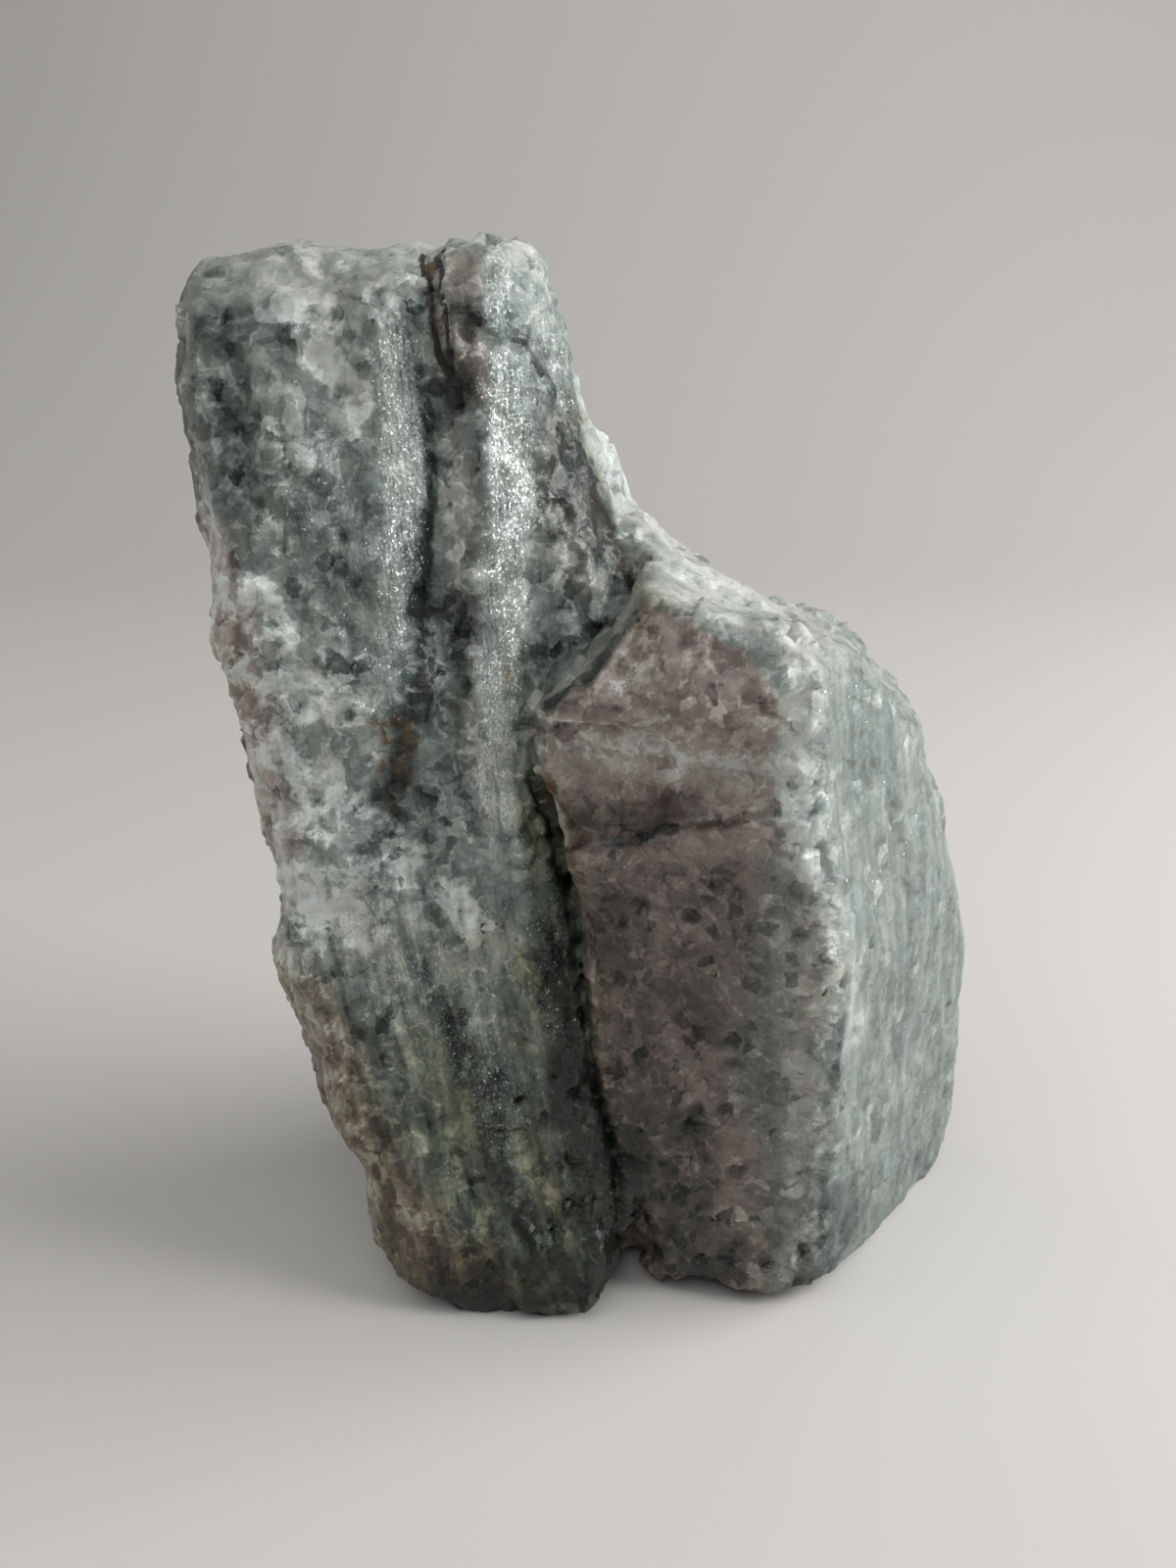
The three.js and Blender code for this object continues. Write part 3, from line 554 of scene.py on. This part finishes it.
def relief(points, normals, sheets, part, mica, pits, shape):
    """Height of the fine relief at each point, in millimetres."""
    x, _, z = points.T
    # Mica splits evenly, so its bands are smoother than the quartz, and so is the block's right face.
    rough = 1 - np.maximum(0.65 * part.on_right, 0.55 * mica * part.on_slab)
    lumps = facets(points, shape.lump_size / MM, shape.lump_tilt, shape.lump_step / MM, LUMP_SEED)
    grain_size = shape.grain_size / MM * np.array([1, 1, 1.25])
    grain = facets(points, grain_size, shape.grain_tilt, shape.grain_step / MM, GRAIN_SEED)
    fine = swelling(points, 1.5, FINE_SEED, 2) * shape.fine_relief / MM
    upright = swelling(sheets, (1.3, 3.0, 16.0), SHEET_SEED, 2) * shape.sheet_relief / MM
    upright *= np.maximum(part.on_slab, 0.3 * (1 - part.upward))
    near_ridge = ramp(np.abs(part.before_ridge), 3.2, 1.0)
    near_ridge *= part.on_block * part.front_side * (1 - part.upward)
    moved = points + 1.6 * part.ragged[:, None]
    chips = facets(moved, shape.chip_size / MM, shape.chip_tilt, shape.chip_step / MM, CHIP_SEED)
    height = rough * (lumps + grain + fine) + upright + near_ridge * chips

    seam = np.exp(-((part.past_seam + 0.5) / 0.5) ** 2) * part.forward * ramp(z, 85, 81)
    crack = ramp(from_lines(x + 0.6 * part.waver, z + part.jag, CRACKS), 0.9, 0.2)
    crack *= ramp(-normals[:, 1], -0.15, 0.15)
    height -= pits * shape.pit_depth / MM + seam * shape.crevice_depth / MM + crack * shape.crack_depth / MM
    # Each step is sharp at its line and runs out over the given distance, in millimetres.
    for depth, place, beyond, sharp, out in (
        (shape.ledge_depth, part.on_front * ramp(x, 11, 5), along(LEDGE, x) - z, (-0.2, 0.3), (9, 1)),
        (shape.crease_depth, part.on_front * ramp(x, 19, 12), z - along(CREASE, x), (-0.2, 0.3), (7, 1.5)),
        (shape.hollow_depth, part.on_slab * ramp(x, -20.5, -19) * ramp(x, -13, -14.5),
         along(HOLLOW_EDGE, x) - z, (-0.3, 0.4), (9, 3)),
    ):
        height -= depth / MM * place * ramp(beyond + part.jag, *sharp) * ramp(beyond + part.jag, *out)
    return height


def rock_kinds(points, normals, part, marks, pits):
    """Shares of the rock's kinds at each point, its tone with painted light and painted shade in it, and
    distances to its thin lines.
    """
    x, _, z = points.T
    kinds = {name: marks[name] for name in ("olive", "rust", "specks")}
    uneven = swelling(points, (4, 4, 7), UNEVEN_SEED, 2)
    right_rim = ramp(x - along(SPECKLED_LINE, z), 0.6, 1.6) * ramp(x, 12, 8) * ramp(z, 82, 87)
    left_rim = ramp(-normals[:, 0], 0.35, 0.75)
    top_rim = ramp(normals[:, 2], 0.5, 0.9)
    green_strip = along(GREEN_STRIP, z)
    smoky = part.on_front * ramp(
        part.before_ridge + 3.0 * uneven + 1.4 * part.ragged, green_strip, green_strip + along(FADE, z))
    smoky *= ramp(part.below_top + 0.8 * part.wobble, 0.0, 1.0)
    smoky = np.maximum(smoky, 0.5 * part.on_front * ramp(z, 70, 55))
    kinds["mauve"] = np.maximum.reduce([marks["mauve"], smoky, 0.25 * part.upward, 0.45 * left_rim])
    # The slab turns more olive and darker towards its foot: partly its own tint, partly painted shade.
    kinds["olive"] = np.maximum(kinds["olive"], 0.6 * part.on_slab * ramp(z, 60, 24))
    # The ridge's crest is crushed. The back is marked in large clouds alone.
    crest = ramp(np.abs(part.before_ridge + 0.8 * part.wobble), 2.4, 0.6)
    crest *= part.forward * part.on_block * ramp(z, 30, 56)
    clouded = swelling(points, (14, 14, 20), CLOUD_SEED, 3)
    white_cloud = part.behind * ramp(clouded, 0.05, 0.4) * (1 - part.on_right)
    # The tops are whitened too: painted light where they catch the light.
    kinds["milk"] = np.maximum.reduce([marks["milk"], 0.6 * crest, 0.35 * top_rim, 0.65 * white_cloud])
    kinds["dark"] = marks["dark"] * (1 - part.on_right)
    # How much paler or darker each share makes the rock, where the whole scale from clear to white is 1.
    # Some shares are the rock's own tone, others painted light and painted shade.
    kinds["tone"] = sum(step * place for step, place in (
        # Painted light: the tops, the strip at the slab's upper right and the left rim, lightened where
        # they catch the light.
        (0.04, top_rim),
        (0.2, right_rim),
        (0.08, left_rim * ramp(z, 95, 85)),
        # Painted shade in the hollows of the pits.
        (-0.26, pits),
        (0.03, part.on_front),
        (-0.12, part.low_front),
        (0.22, marks["pale"]),
        (-0.24, marks["shade"]),
        # The mica bands: partly their silvery colour, partly a painted sheen.
        (0.26, marks["mica"] * part.on_slab),
        # Painted shade, partly the rock's own darker tone: darker towards the foot.
        (-0.04, part.on_slab * ramp(z, 58, 30)),
        (-0.05, part.on_slab * ramp(z, 24, 6)),
        (-0.08, part.on_block * ramp(z, 16, 3)),
        (0.12, part.behind * clouded),
    ))
    kinds["calm"] = np.maximum.reduce([
        part.upward, part.on_right, 0.4 * part.on_front, 0.8 * right_rim, 0.8 * marks["mica"],
        0.35 * part.behind])
    # Share of single grains that are clear and dark, and of those that are crushed and white.
    kinds["clear"] = 0.06 * part.on_slab + 0.03 * part.on_front + 0.04 * part.low_front + 0.01 * part.behind
    kinds["clear"] *= (1 - marks["mica"]) * (1 + 1.6 * swelling(points, 6, CLEAR_SEED, 2))
    kinds["crushed"] = 0.04 + 0.06 * part.on_slab + 0.05 * part.on_front + 0.04 * part.low_front
    kinds["crushed"] *= 1 + 0.9 * swelling(points, 5, CRUSHED_SEED, 2)
    low_streaks = 0.2 + 0.8 * ramp(z, 62, 48)
    kinds["upright"] = np.maximum(
        part.on_slab * np.maximum(low_streaks, marks["mica"]), 0.45 * part.on_right)
    kinds["mica"] = np.maximum(marks["mica"], 0.03 * part.on_right)
    # Distances to lines thinner than the mesh can hold as shares: the material draws them sharp.
    aside = 8 * ramp(-normals[:, 1], 0.15, -0.15)
    edges = x + 0.6 * part.waver, z + part.jag
    kinds["crack_gap"] = aside + from_lines(*edges, CRACKS)
    kinds["pale_gap"] = aside + from_lines(*edges, PALE_LINES) + 0.45 * ramp(part.ragged, -0.25, 0.45)
    kinds["dark_gap"] = aside + from_lines(*edges, DARK_LINES) + 0.2 * ramp(part.ragged, 0.35, -0.35)
    return kinds


def broken_rock(points, normals, shape):
    """Height of the fine relief at each point, the rock's kinds there, and places along its sheets."""
    x, y, z = points.T
    sheets = np.stack([across_grain(x, z), y, z], axis=1)
    part = stone_parts(points, normals)
    marks = {name: marked(name, x, z, part.wobble) * part.front_side for name in MARKS}
    pit_share = 0.02 * part.front_side + 0.08 * part.on_slab + 0.03 * part.on_front + 0.07 * part.low_front
    pits = pitted(points, shape.pit_size / MM, pit_share * (1 - part.on_right), PIT_SEED)
    height = relief(points, normals, sheets, part, marks["mica"], pits, shape)
    return height, rock_kinds(points, normals, part, marks, pits), sheets


# ------------------------------------------------------------
# Material

def add_node(tree, kind, settings=None, links=None):
    """Adds a shader node, sets its properties or socket values, and links outputs to its sockets."""
    node = tree.nodes.new("ShaderNode" + kind)
    for key, value in (settings or {}).items():
        if isinstance(key, str) and hasattr(node, key):
            setattr(node, key, value)
        else:
            node.inputs[key].default_value = value
    for key, source in (links or {}).items():
        tree.links.new(source, node.inputs[key])
    return node


# Sockets of the Mix node, for plain values and for colours, and the limits of the Map Range node.
FACTOR, FIRST_VALUE, SECOND_VALUE, FIRST, SECOND, MIXED = 0, 2, 3, 6, 7, 2
LIMITS = ("From Min", "From Max", "To Min", "To Max")
# Widths of the quartz grains that the material draws, in millimetres, and how far a share of 1 lifts the
# noise that makes the ragged patches of crushed or clear quartz.
LARGE_GRAIN, SMALL_GRAIN, TINY_GRAIN = 3.2, 1.7, 0.8
PATCH_PULL = 0.34
SHARES = (
    "milk", "dark", "mauve", "olive", "rust", "specks", "mica", "tone", "calm", "upright", "clear",
    "crushed", "crack_gap", "pale_gap", "dark_gap",
)


def rock_patterns(add):
    """The rock's repeating patterns, all measured in millimetres."""
    look = SimpleNamespace()
    place = add("TexCoord").outputs["Object"]
    mm = add("VectorMath", {"operation": "SCALE", "Scale": 1 / MM}, {0: place}).outputs[0]
    sheets = add("Attribute", {"attribute_name": "sheets"}).outputs["Vector"]
    # Places squeezed along the sheets, so that patterns of size 1 come out as wide, deep and tall as said.
    cloud_place, streak_place, thread_place, look.flake_place = (
        add("VectorMath", {"operation": "MULTIPLY", 1: scale}, {0: sheets}).outputs[0]
        for scale in (
            (0.16, 0.12, 0.09),  # clouds of mica: 6, 8 and 11 mm
            (0.8, 0.45, 0.07),  # streaks: 1.2, 2 and 14 mm
            (3.2, 2.0, 0.35),  # silky threads where the sheets end at the surface: 0.3, 0.5 and 3 mm
            (6.0, 4.6, 4.2),  # flakes of mica: 0.2 mm
        )
    )
    # Grain edges curve, so the grains are read from a place that smooth noise has pushed by up to 1 mm.
    push = add("TexNoise", {"Scale": 0.33, "Detail": 0.0}, {"Vector": mm}).outputs["Color"]
    look.pushed = add(
        "VectorMath", {"operation": "MULTIPLY_ADD", 1: (1.3, 1.3, 1.3)},
        {0: push, 2: mm}).outputs[0]
    # Grit is the finest unevenness, and black the noise that lets single specks through.
    look.clouds, look.streaks, look.threads, look.grit, look.black = (
        add("TexNoise", {"Scale": scale, "Detail": detail, "Roughness": roughness},
            {"Vector": vector}).outputs
        for vector, scale, detail, roughness in (
            (cloud_place, 1.0, 4.0, 0.55),
            (streak_place, 1.0, 4.0, 0.55),
            (thread_place, 1.0, 2.0, 0.6),
            (mm, 1.8, 3.0, 0.65),
            (look.pushed, 1.3, 2.0, 0.5),
        )
    )
    # Each quartz grain is clear or milky by its own amount. Their colours meet along ragged edges, while
    # their faces stay plane.
    ragged_place = add(
        "VectorMath", {"operation": "MULTIPLY_ADD", 1: (0.9, 0.9, 0.9)},
        {0: look.grit["Color"], 2: look.pushed}).outputs[0]
    look.large, look.small, look.tiny, look.large_face, look.small_face, look.flakes = (
        add("TexVoronoi", {"Scale": 1 / size}, {"Vector": vector}).outputs
        for size, vector in (
            (LARGE_GRAIN, ragged_place), (SMALL_GRAIN, ragged_place), (TINY_GRAIN, look.pushed),
            (LARGE_GRAIN, look.pushed), (SMALL_GRAIN, look.pushed), (1.0, look.flake_place),
        )
    )
    look.edge = add(
        "TexVoronoi", {"feature": "DISTANCE_TO_EDGE", "Scale": 1 / LARGE_GRAIN},
        {"Vector": ragged_place}).outputs["Distance"]
    return look


def stepped(add, tone, source, *limits, clamp=True):
    """Adds a step to the tone: from the third limit to the fourth as the source goes from the first to the
    second."""
    settings = dict(zip(LIMITS, limits), clamp=clamp)
    step = add("MapRange", settings, {"Value": source}).outputs[0]
    if tone is None:
        return step
    return add("Math", {"operation": "ADD"}, {0: tone, 1: step}).outputs[0]


def milkiness_and_painted_light(add, share, look):
    """How milky the quartz is, from 0 for clear quartz over dark mica to 1 for white, with painted light
    and painted shade added in.
    """
    # White patches, of crushed quartz and of painted light on the tops, and dark ones, of clear quartz and
    # of painted shade by the seam and foot, have ragged edges: noise, cut off where a share lifts it.
    crushed, clear = (
        add("Math", {"operation": "MULTIPLY_ADD", 1: PATCH_PULL}, {
            0: share[name],
            2: add("TexNoise", {"Scale": scale, "Detail": 4.0, "Roughness": 0.65},
                   {"Vector": look.pushed}).outputs["Fac"],
        }).outputs[0]
        for name, scale in (("milk", 0.5), ("dark", 0.42))
    )
    # Single grains that are clear or crushed, by their own number.
    numbers = add("SeparateColor", None, {"Color": look.small["Color"]}).outputs
    clear_grain, crushed_grain = (
        add("Math", {"operation": "LESS_THAN"}, {0: numbers[channel], 1: share[name]}).outputs[0]
        for channel, name in (("Green", "clear"), ("Blue", "crushed"))
    )
    # Streaks and silky threads, as strong as their shares.
    streak, silk = (
        add("Math", {"operation": "MULTIPLY"}, {
            0: add("Math", {"operation": "SUBTRACT", 1: 0.5}, {0: noise["Fac"]}).outputs[0],
            1: share[name],
        }).outputs[0]
        for noise, name in ((look.streaks, "upright"), (look.threads, "mica"))
    )
    # Crushed white rims, broken up by noise, on the grains whose number is high.
    grain_number = add("SeparateColor", None, {"Color": look.large["Color"]}).outputs["Blue"]
    rims = None
    for source, start, full in (
        (look.edge, 0.1, 0.03), (look.black["Fac"], 0.46, 0.56), (grain_number, 0.5, 0.7),
    ):
        reach = add("MapRange", {"From Min": start, "From Max": full}, {"Value": source}).outputs[0]
        rims = reach if rims is None else add(
            "Math", {"operation": "MULTIPLY"}, {0: rims, 1: reach}).outputs[0]

    tone = None
    for source, *limits in (
        (look.clouds["Fac"], 0.36, 0.64, 0.3, 0.6),
        (look.large["Color"], 0.0, 1.0, -0.12, 0.12),
        (look.small["Color"], 0.0, 1.0, -0.16, 0.16),
        (look.tiny["Color"], 0.0, 1.0, -0.07, 0.07),
        (look.grit["Fac"], 0.3, 0.7, -0.05, 0.05),
        (crushed, 0.6, 0.65, 0.0, 0.26),
        (clear, 0.68, 0.78, 0.0, -0.2),
        (rims, 0.0, 1.0, 0.0, 0.2),
    ):
        tone = stepped(add, tone, source, *limits)
    # The block's faces, the tops and the back are evener: there the grains keep closer to a middle tone.
    calm = add("Math", {"operation": "MULTIPLY", 1: 0.8}, {0: share["calm"]}).outputs[0]
    tone = add(
        "Mix", {"data_type": "FLOAT", SECOND_VALUE: 0.5},
        {FACTOR: calm, FIRST_VALUE: tone}).outputs[0]
    for source, *limits in (
        (share["tone"], 0.0, 1.0, 0.0, 1.0),
        (streak, -0.16, 0.16, -0.2, 0.2),
        (silk, -0.16, 0.16, -0.2, 0.2),
        (clear_grain, 0.0, 1.0, 0.0, -0.15),
        (crushed_grain, 0.0, 1.0, 0.0, 0.14),
        (share["milk"], 0.0, 1.0, 0.0, 0.14),
        (share["dark"], 0.0, 1.0, 0.0, -0.16),
    ):
        tone = stepped(add, tone, source, *limits, clamp=False)
    # Sharp thin lines: the ledge's crushed lip and painted light along the block's left edge lighten; black
    # mica specks and painted shade in the groove, crease and seam darken.
    tone = stepped(add, tone, share["pale_gap"], 0.15, 0.45, 0.3, 0.0)
    return stepped(add, tone, share["dark_gap"], 0.15, 0.7, -0.34, 0.0)


def rock_colour(add, share, look, tone, colours):
    """The quartz's colour by its milkiness and painted light, with stains, dirt and painted shade over it.
    """
    # Green quartz, and the smoky quartz of the block's front: both run from clear to milky.
    kinds = []
    for stops in (
        (colours.deep, colours.slate, colours.sage, colours.pale, colours.milk),
        (colours.deep, colours.smoke, colours.mauve, colours.blush, colours.milk),
    ):
        shades = add("ValToRGB", None, {"Fac": tone})
        elements = shades.color_ramp.elements
        elements[0].color = (*stops[0], 1)
        elements[1].color = (*stops[-1], 1)
        for at, stop in zip((0.25, 0.5, 0.75), stops[1:-1]):
            elements.new(at).color = (*stop, 1)
        kinds.append(shades.outputs["Color"])
    colour = add(
        "Mix", {"data_type": "RGBA"},
        {FACTOR: share["mauve"], FIRST: kinds[0], SECOND: kinds[1]}).outputs[MIXED]

    # Stains soak in between the grains, so their edges are ragged; the olive tint is also painted shade on
    # the strip beside the block and on the slab's foot. Black mica sits in specks below 1 mm.
    near_crack = add(
        "MapRange", dict(zip(LIMITS, (0.15, 0.45, 1.0, 0.0))),
        {"Value": share["crack_gap"]}).outputs[0]
    for reach, noise, start, full, most, blend, over in (
        (share["olive"], look.clouds["Fac"], 0.42, 1.25, 1.0, "MULTIPLY", colours.olive),
        (share["rust"], look.small["Color"], 1.0, 1.4, 1.0, "MULTIPLY", colours.rust),
        (near_crack, look.grit["Fac"], 0.75, 1.1, 0.95, "MIX", colours.crack),
        (share["specks"], look.black["Fac"], 1.2, 1.27, 0.85, "MIX", colours.crack),
    ):
        ragged = add("Math", {"operation": "ADD"}, {0: reach, 1: noise}).outputs[0]
        soaked = add(
            "MapRange", dict(zip(LIMITS, (start, full, 0.0, most))), {"Value": ragged}).outputs[0]
        colour = add(
            "Mix", {"data_type": "RGBA", "blend_type": blend, SECOND: (*over, 1)},
            {FACTOR: soaked, FIRST: colour}).outputs[MIXED]
    return colour


def tilted_faces(add, look, flake):
    """The grains' faces: within one grain the height rises steadily in that grain's own direction."""
    normal = None
    for vector, cells, tilt, share in (
        (look.pushed, look.large_face, 0.4, None),
        (look.pushed, look.small_face, 0.45, None),
        (look.pushed, look.tiny, 0.25, None),
        (look.flake_place, look.flakes, 0.3, flake),
    ):
        way = add("VectorMath", {"operation": "SUBTRACT"}, {0: vector, 1: cells["Position"]}).outputs[0]
        lean = add(
            "VectorMath", {"operation": "SUBTRACT", 1: (0.5, 0.5, 0.5)},
            {0: cells["Color"]}).outputs[0]
        rise = add("VectorMath", {"operation": "DOT_PRODUCT"}, {0: way, 1: lean}).outputs["Value"]
        links = {"Height": rise, "Strength": share, "Normal": normal}
        normal = add(
            "Bump", {"Distance": MM * tilt},
            {socket: source for socket, source in links.items() if source}).outputs["Normal"]
    return add(
        "Bump", {"Distance": MM * 0.12, "Strength": 0.8},
        {"Height": look.grit["Fac"], "Normal": normal}).outputs["Normal"]


def aventurine_material(colours):
    """Raw aventurine, broken and never polished: clear and milky quartz grains of 1 to 3 mm that catch the
    light as small tilted faces, crowded in places with flakes of green mica that glint."""
    material = bpy.data.materials.new("raw_aventurine")
    material.use_nodes = True
    tree = material.node_tree
    tree.nodes.clear()
    add = partial(add_node, tree)
    share = {name: add("Attribute", {"attribute_name": name}).outputs["Fac"] for name in SHARES}
    look = rock_patterns(add)
    colour = rock_colour(add, share, look, milkiness_and_painted_light(add, share, look), colours)

    # Each mica flake is pearly by its own amount.
    number = add("SeparateColor", None, {"Color": look.flakes["Color"]}).outputs
    flake = add("Math", {"operation": "LESS_THAN"}, {0: number["Green"], 1: share["mica"]}).outputs[0]
    bright = add("MapRange", dict(zip(LIMITS, (0.6, 1.0, 0.1, 0.6))), {"Value": number["Red"]}).outputs[0]
    pearly = add("Math", {"operation": "MULTIPLY"}, {0: flake, 1: bright}).outputs[0]
    colour = add(
        "Mix", {"data_type": "RGBA", SECOND: (*colours.mica, 1)},
        {FACTOR: pearly, FIRST: colour}).outputs[MIXED]
    metal = add("Math", {"operation": "MULTIPLY", 1: 0.35}, {0: flake}).outputs[0]
    # Fresh quartz faces are glossy and crushed ones dull.
    gloss = add("MapRange", {"To Min": 0.28, "To Max": 0.6}, {"Value": look.small["Color"]}).outputs[0]
    roughness = add(
        "Mix", {"data_type": "FLOAT", SECOND_VALUE: 0.34},
        {FACTOR: flake, FIRST_VALUE: gloss}).outputs[0]
    shader = add(
        "BsdfPrincipled",
        {"IOR": 1.54, "Subsurface Weight": 0.3, "Subsurface Radius": (1.0, 1.0, 0.9),
         "Subsurface Scale": 0.0025},
        {"Base Color": colour, "Roughness": roughness, "Metallic": metal,
         "Normal": tilted_faces(add, look, flake)})
    add("OutputMaterial", None, {"Surface": shader.outputs[0]})
    return material


# ------------------------------------------------------------
# Operators

def fine_surface(shape):
    """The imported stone's surface as evenly spaced small faces, with its facets blended."""
    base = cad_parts[CAD_NODE]
    rough = bpy.data.objects.new("rough_surface", base.data.copy())
    bpy.context.scene.collection.objects.link(rough)
    remesh = rough.modifiers.new("even_faces", "REMESH")
    remesh.mode, remesh.voxel_size = "VOXEL", shape.mesh_step
    smooth = rough.modifiers.new("blend_facets", "SMOOTH")
    smooth.factor, smooth.iterations = 0.5, shape.smoothing
    mesh = bpy.data.meshes.new_from_object(rough.evaluated_get(bpy.context.evaluated_depsgraph_get()))
    bpy.data.objects.remove(rough)
    return mesh


class AVENTURINE_OT_stone(bpy.types.Operator):
    """Builds the stone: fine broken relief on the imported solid, and its material"""
    bl_idname = "aventurine.stone"
    bl_label = "Raw aventurine"

    def execute(self, context):
        shape, colours = context.scene.stone_shape, context.scene.stone_colours
        mesh = fine_surface(shape)
        count = len(mesh.vertices)
        if not count:
            raise RuntimeError("the remesh left no surface")
        points, normals = np.zeros(count * 3), np.zeros(count * 3)
        mesh.vertices.foreach_get("co", points)
        mesh.vertex_normals.foreach_get("vector", normals)
        points, normals = points.reshape(-1, 3) / MM, normals.reshape(-1, 3)
        height, kinds, sheets = broken_rock(points, normals, shape)
        resting = points[:, 2] < shape.foot_height / MM
        moved = points + normals * np.where(resting, 0, height)[:, None]
        low, high = (np.array(corner) / MM for corner in CAD_BOX)
        margin = shape.margin / MM
        moved = np.clip(moved, low - (margin, margin, 0), high + margin)
        mesh.vertices.foreach_set("co", (moved * MM).ravel())
        for name, values in kinds.items():
            attribute = mesh.attributes.new(name, "FLOAT", "POINT")
            attribute.data.foreach_set("value", values.astype(np.float32))
        mesh.attributes.new("sheets", "FLOAT_VECTOR", "POINT").data.foreach_set(
            "vector", sheets.astype(np.float32).ravel())
        mesh.shade_smooth()
        mesh.set_sharp_from_angle(angle=math.radians(50))
        mesh.update()
        mesh.materials.clear()
        mesh.materials.append(aventurine_material(colours))
        piece = bpy.data.objects.new("raw_aventurine", mesh)
        context.scene.collection.objects.link(piece)
        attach(piece, "root")
        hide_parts(CAD_NODE)
        return {"FINISHED"}


def area_light(name, place, size, power):
    """Adds a soft square light that shines at the stone's middle."""
    lamp = bpy.data.lights.new(name, "AREA")
    lamp.shape, lamp.size, lamp.energy = "SQUARE", size, power
    holder = bpy.data.objects.new(name, lamp)
    holder.location = place
    holder.rotation_euler = (Vector(STONE_MIDDLE) - Vector(place)).to_track_quat("-Z", "Y").to_euler()
    bpy.context.scene.collection.objects.link(holder)


class AVENTURINE_OT_stage(bpy.types.Operator):
    """Adds the plain floor, the soft lights and the camera"""
    bl_idname = "aventurine.stage"
    bl_label = "Floor, lights and camera"

    def execute(self, context):
        scene, stage = context.scene, context.scene.stage_settings
        bend = [math.radians(90 * step / SWEEP_STEPS) for step in range(SWEEP_STEPS + 1)]
        profile = [(FLOOR_FRONT, 0.0)]
        profile += [
            (SWEEP_START + SWEEP_BEND * math.sin(turn), SWEEP_BEND * (1 - math.cos(turn))) for turn in bend]
        profile += [(SWEEP_START + SWEEP_BEND, BACKDROP_TOP)]
        corners = [(side, y, z) for y, z in profile for side in (-FLOOR_SIDE, FLOOR_SIDE)]
        faces = [(n, n + 1, n + 3, n + 2) for n in range(0, len(corners) - 2, 2)]
        mesh = bpy.data.meshes.new("floor")
        mesh.from_pydata(corners, [], faces)
        mesh.shade_smooth()
        floor = bpy.data.objects.new("floor", mesh)
        scene.collection.objects.link(floor)
        # Matt paint shows the stone's soft shadow and no reflection.
        plain = bpy.data.materials.new("matt_painted_floor")
        plain.use_nodes = True
        shader = plain.node_tree.nodes["Principled BSDF"]
        shader.inputs["Base Color"].default_value = (*stage.floor_colour, 1)
        shader.inputs["Roughness"].default_value = 0.8
        floor.data.materials.append(plain)

        area_light("window", WINDOW_PLACE, WINDOW_SIZE, stage.key_power)
        area_light("overhead", OVERHEAD_PLACE, OVERHEAD_SIZE, stage.fill_power)
        area_light("left", LEFT_PLACE, LEFT_SIZE, stage.side_power)
        world = bpy.data.worlds.new("room")
        world.use_nodes = True
        background = world.node_tree.nodes["Background"]
        background.inputs["Color"].default_value = ROOM_COLOUR
        background.inputs["Strength"].default_value = stage.sky
        scene.world = world
        scene.view_settings.view_transform = "Standard"

        camera = bpy.data.objects.new("camera", bpy.data.cameras.new("camera"))
        camera.data.sensor_fit = "VERTICAL"
        camera.data.sensor_width = camera.data.sensor_height = CAMERA_FILM
        camera.data.lens = CAMERA_LENS
        camera.data.clip_start = CAMERA_NEAR
        camera.location = CAMERA_PLACE
        camera.rotation_euler = (math.radians(CAMERA_TILT), 0, 0)
        scene.collection.objects.link(camera)
        scene.camera = camera
        return {"FINISHED"}


class AVENTURINE_PT_panel(bpy.types.Panel):
    """Lists the steps and their settings"""
    bl_idname = "AVENTURINE_PT_panel"
    bl_label = "Raw aventurine"
    bl_space_type = "VIEW_3D"
    bl_region_type = "UI"
    bl_category = "Aventurine"

    def draw(self, context):
        for operator, group in (
            ("aventurine.stone", context.scene.stone_shape),
            (None, context.scene.stone_colours),
            ("aventurine.stage", context.scene.stage_settings),
        ):
            box = self.layout.box()
            if operator:
                box.operator(operator)
            for name in group.bl_rna.properties.keys():
                if name not in ("rna_type", "name"):
                    box.prop(group, name)


CLASSES = (
    StoneShape, StoneColours, StageSettings,
    AVENTURINE_OT_stone, AVENTURINE_OT_stage, AVENTURINE_PT_panel,
)


def register():
    for one in CLASSES:
        bpy.utils.register_class(one)
    bpy.types.Scene.stone_shape = bpy.props.PointerProperty(type=StoneShape)
    bpy.types.Scene.stone_colours = bpy.props.PointerProperty(type=StoneColours)
    bpy.types.Scene.stage_settings = bpy.props.PointerProperty(type=StageSettings)


def unregister():
    for name in ("stone_shape", "stone_colours", "stage_settings"):
        delattr(bpy.types.Scene, name)
    for one in reversed(CLASSES):
        bpy.utils.unregister_class(one)


def main():
    register()
    bpy.ops.aventurine.stone()
    bpy.ops.aventurine.stage()


if __name__ == "__main__":
    main()
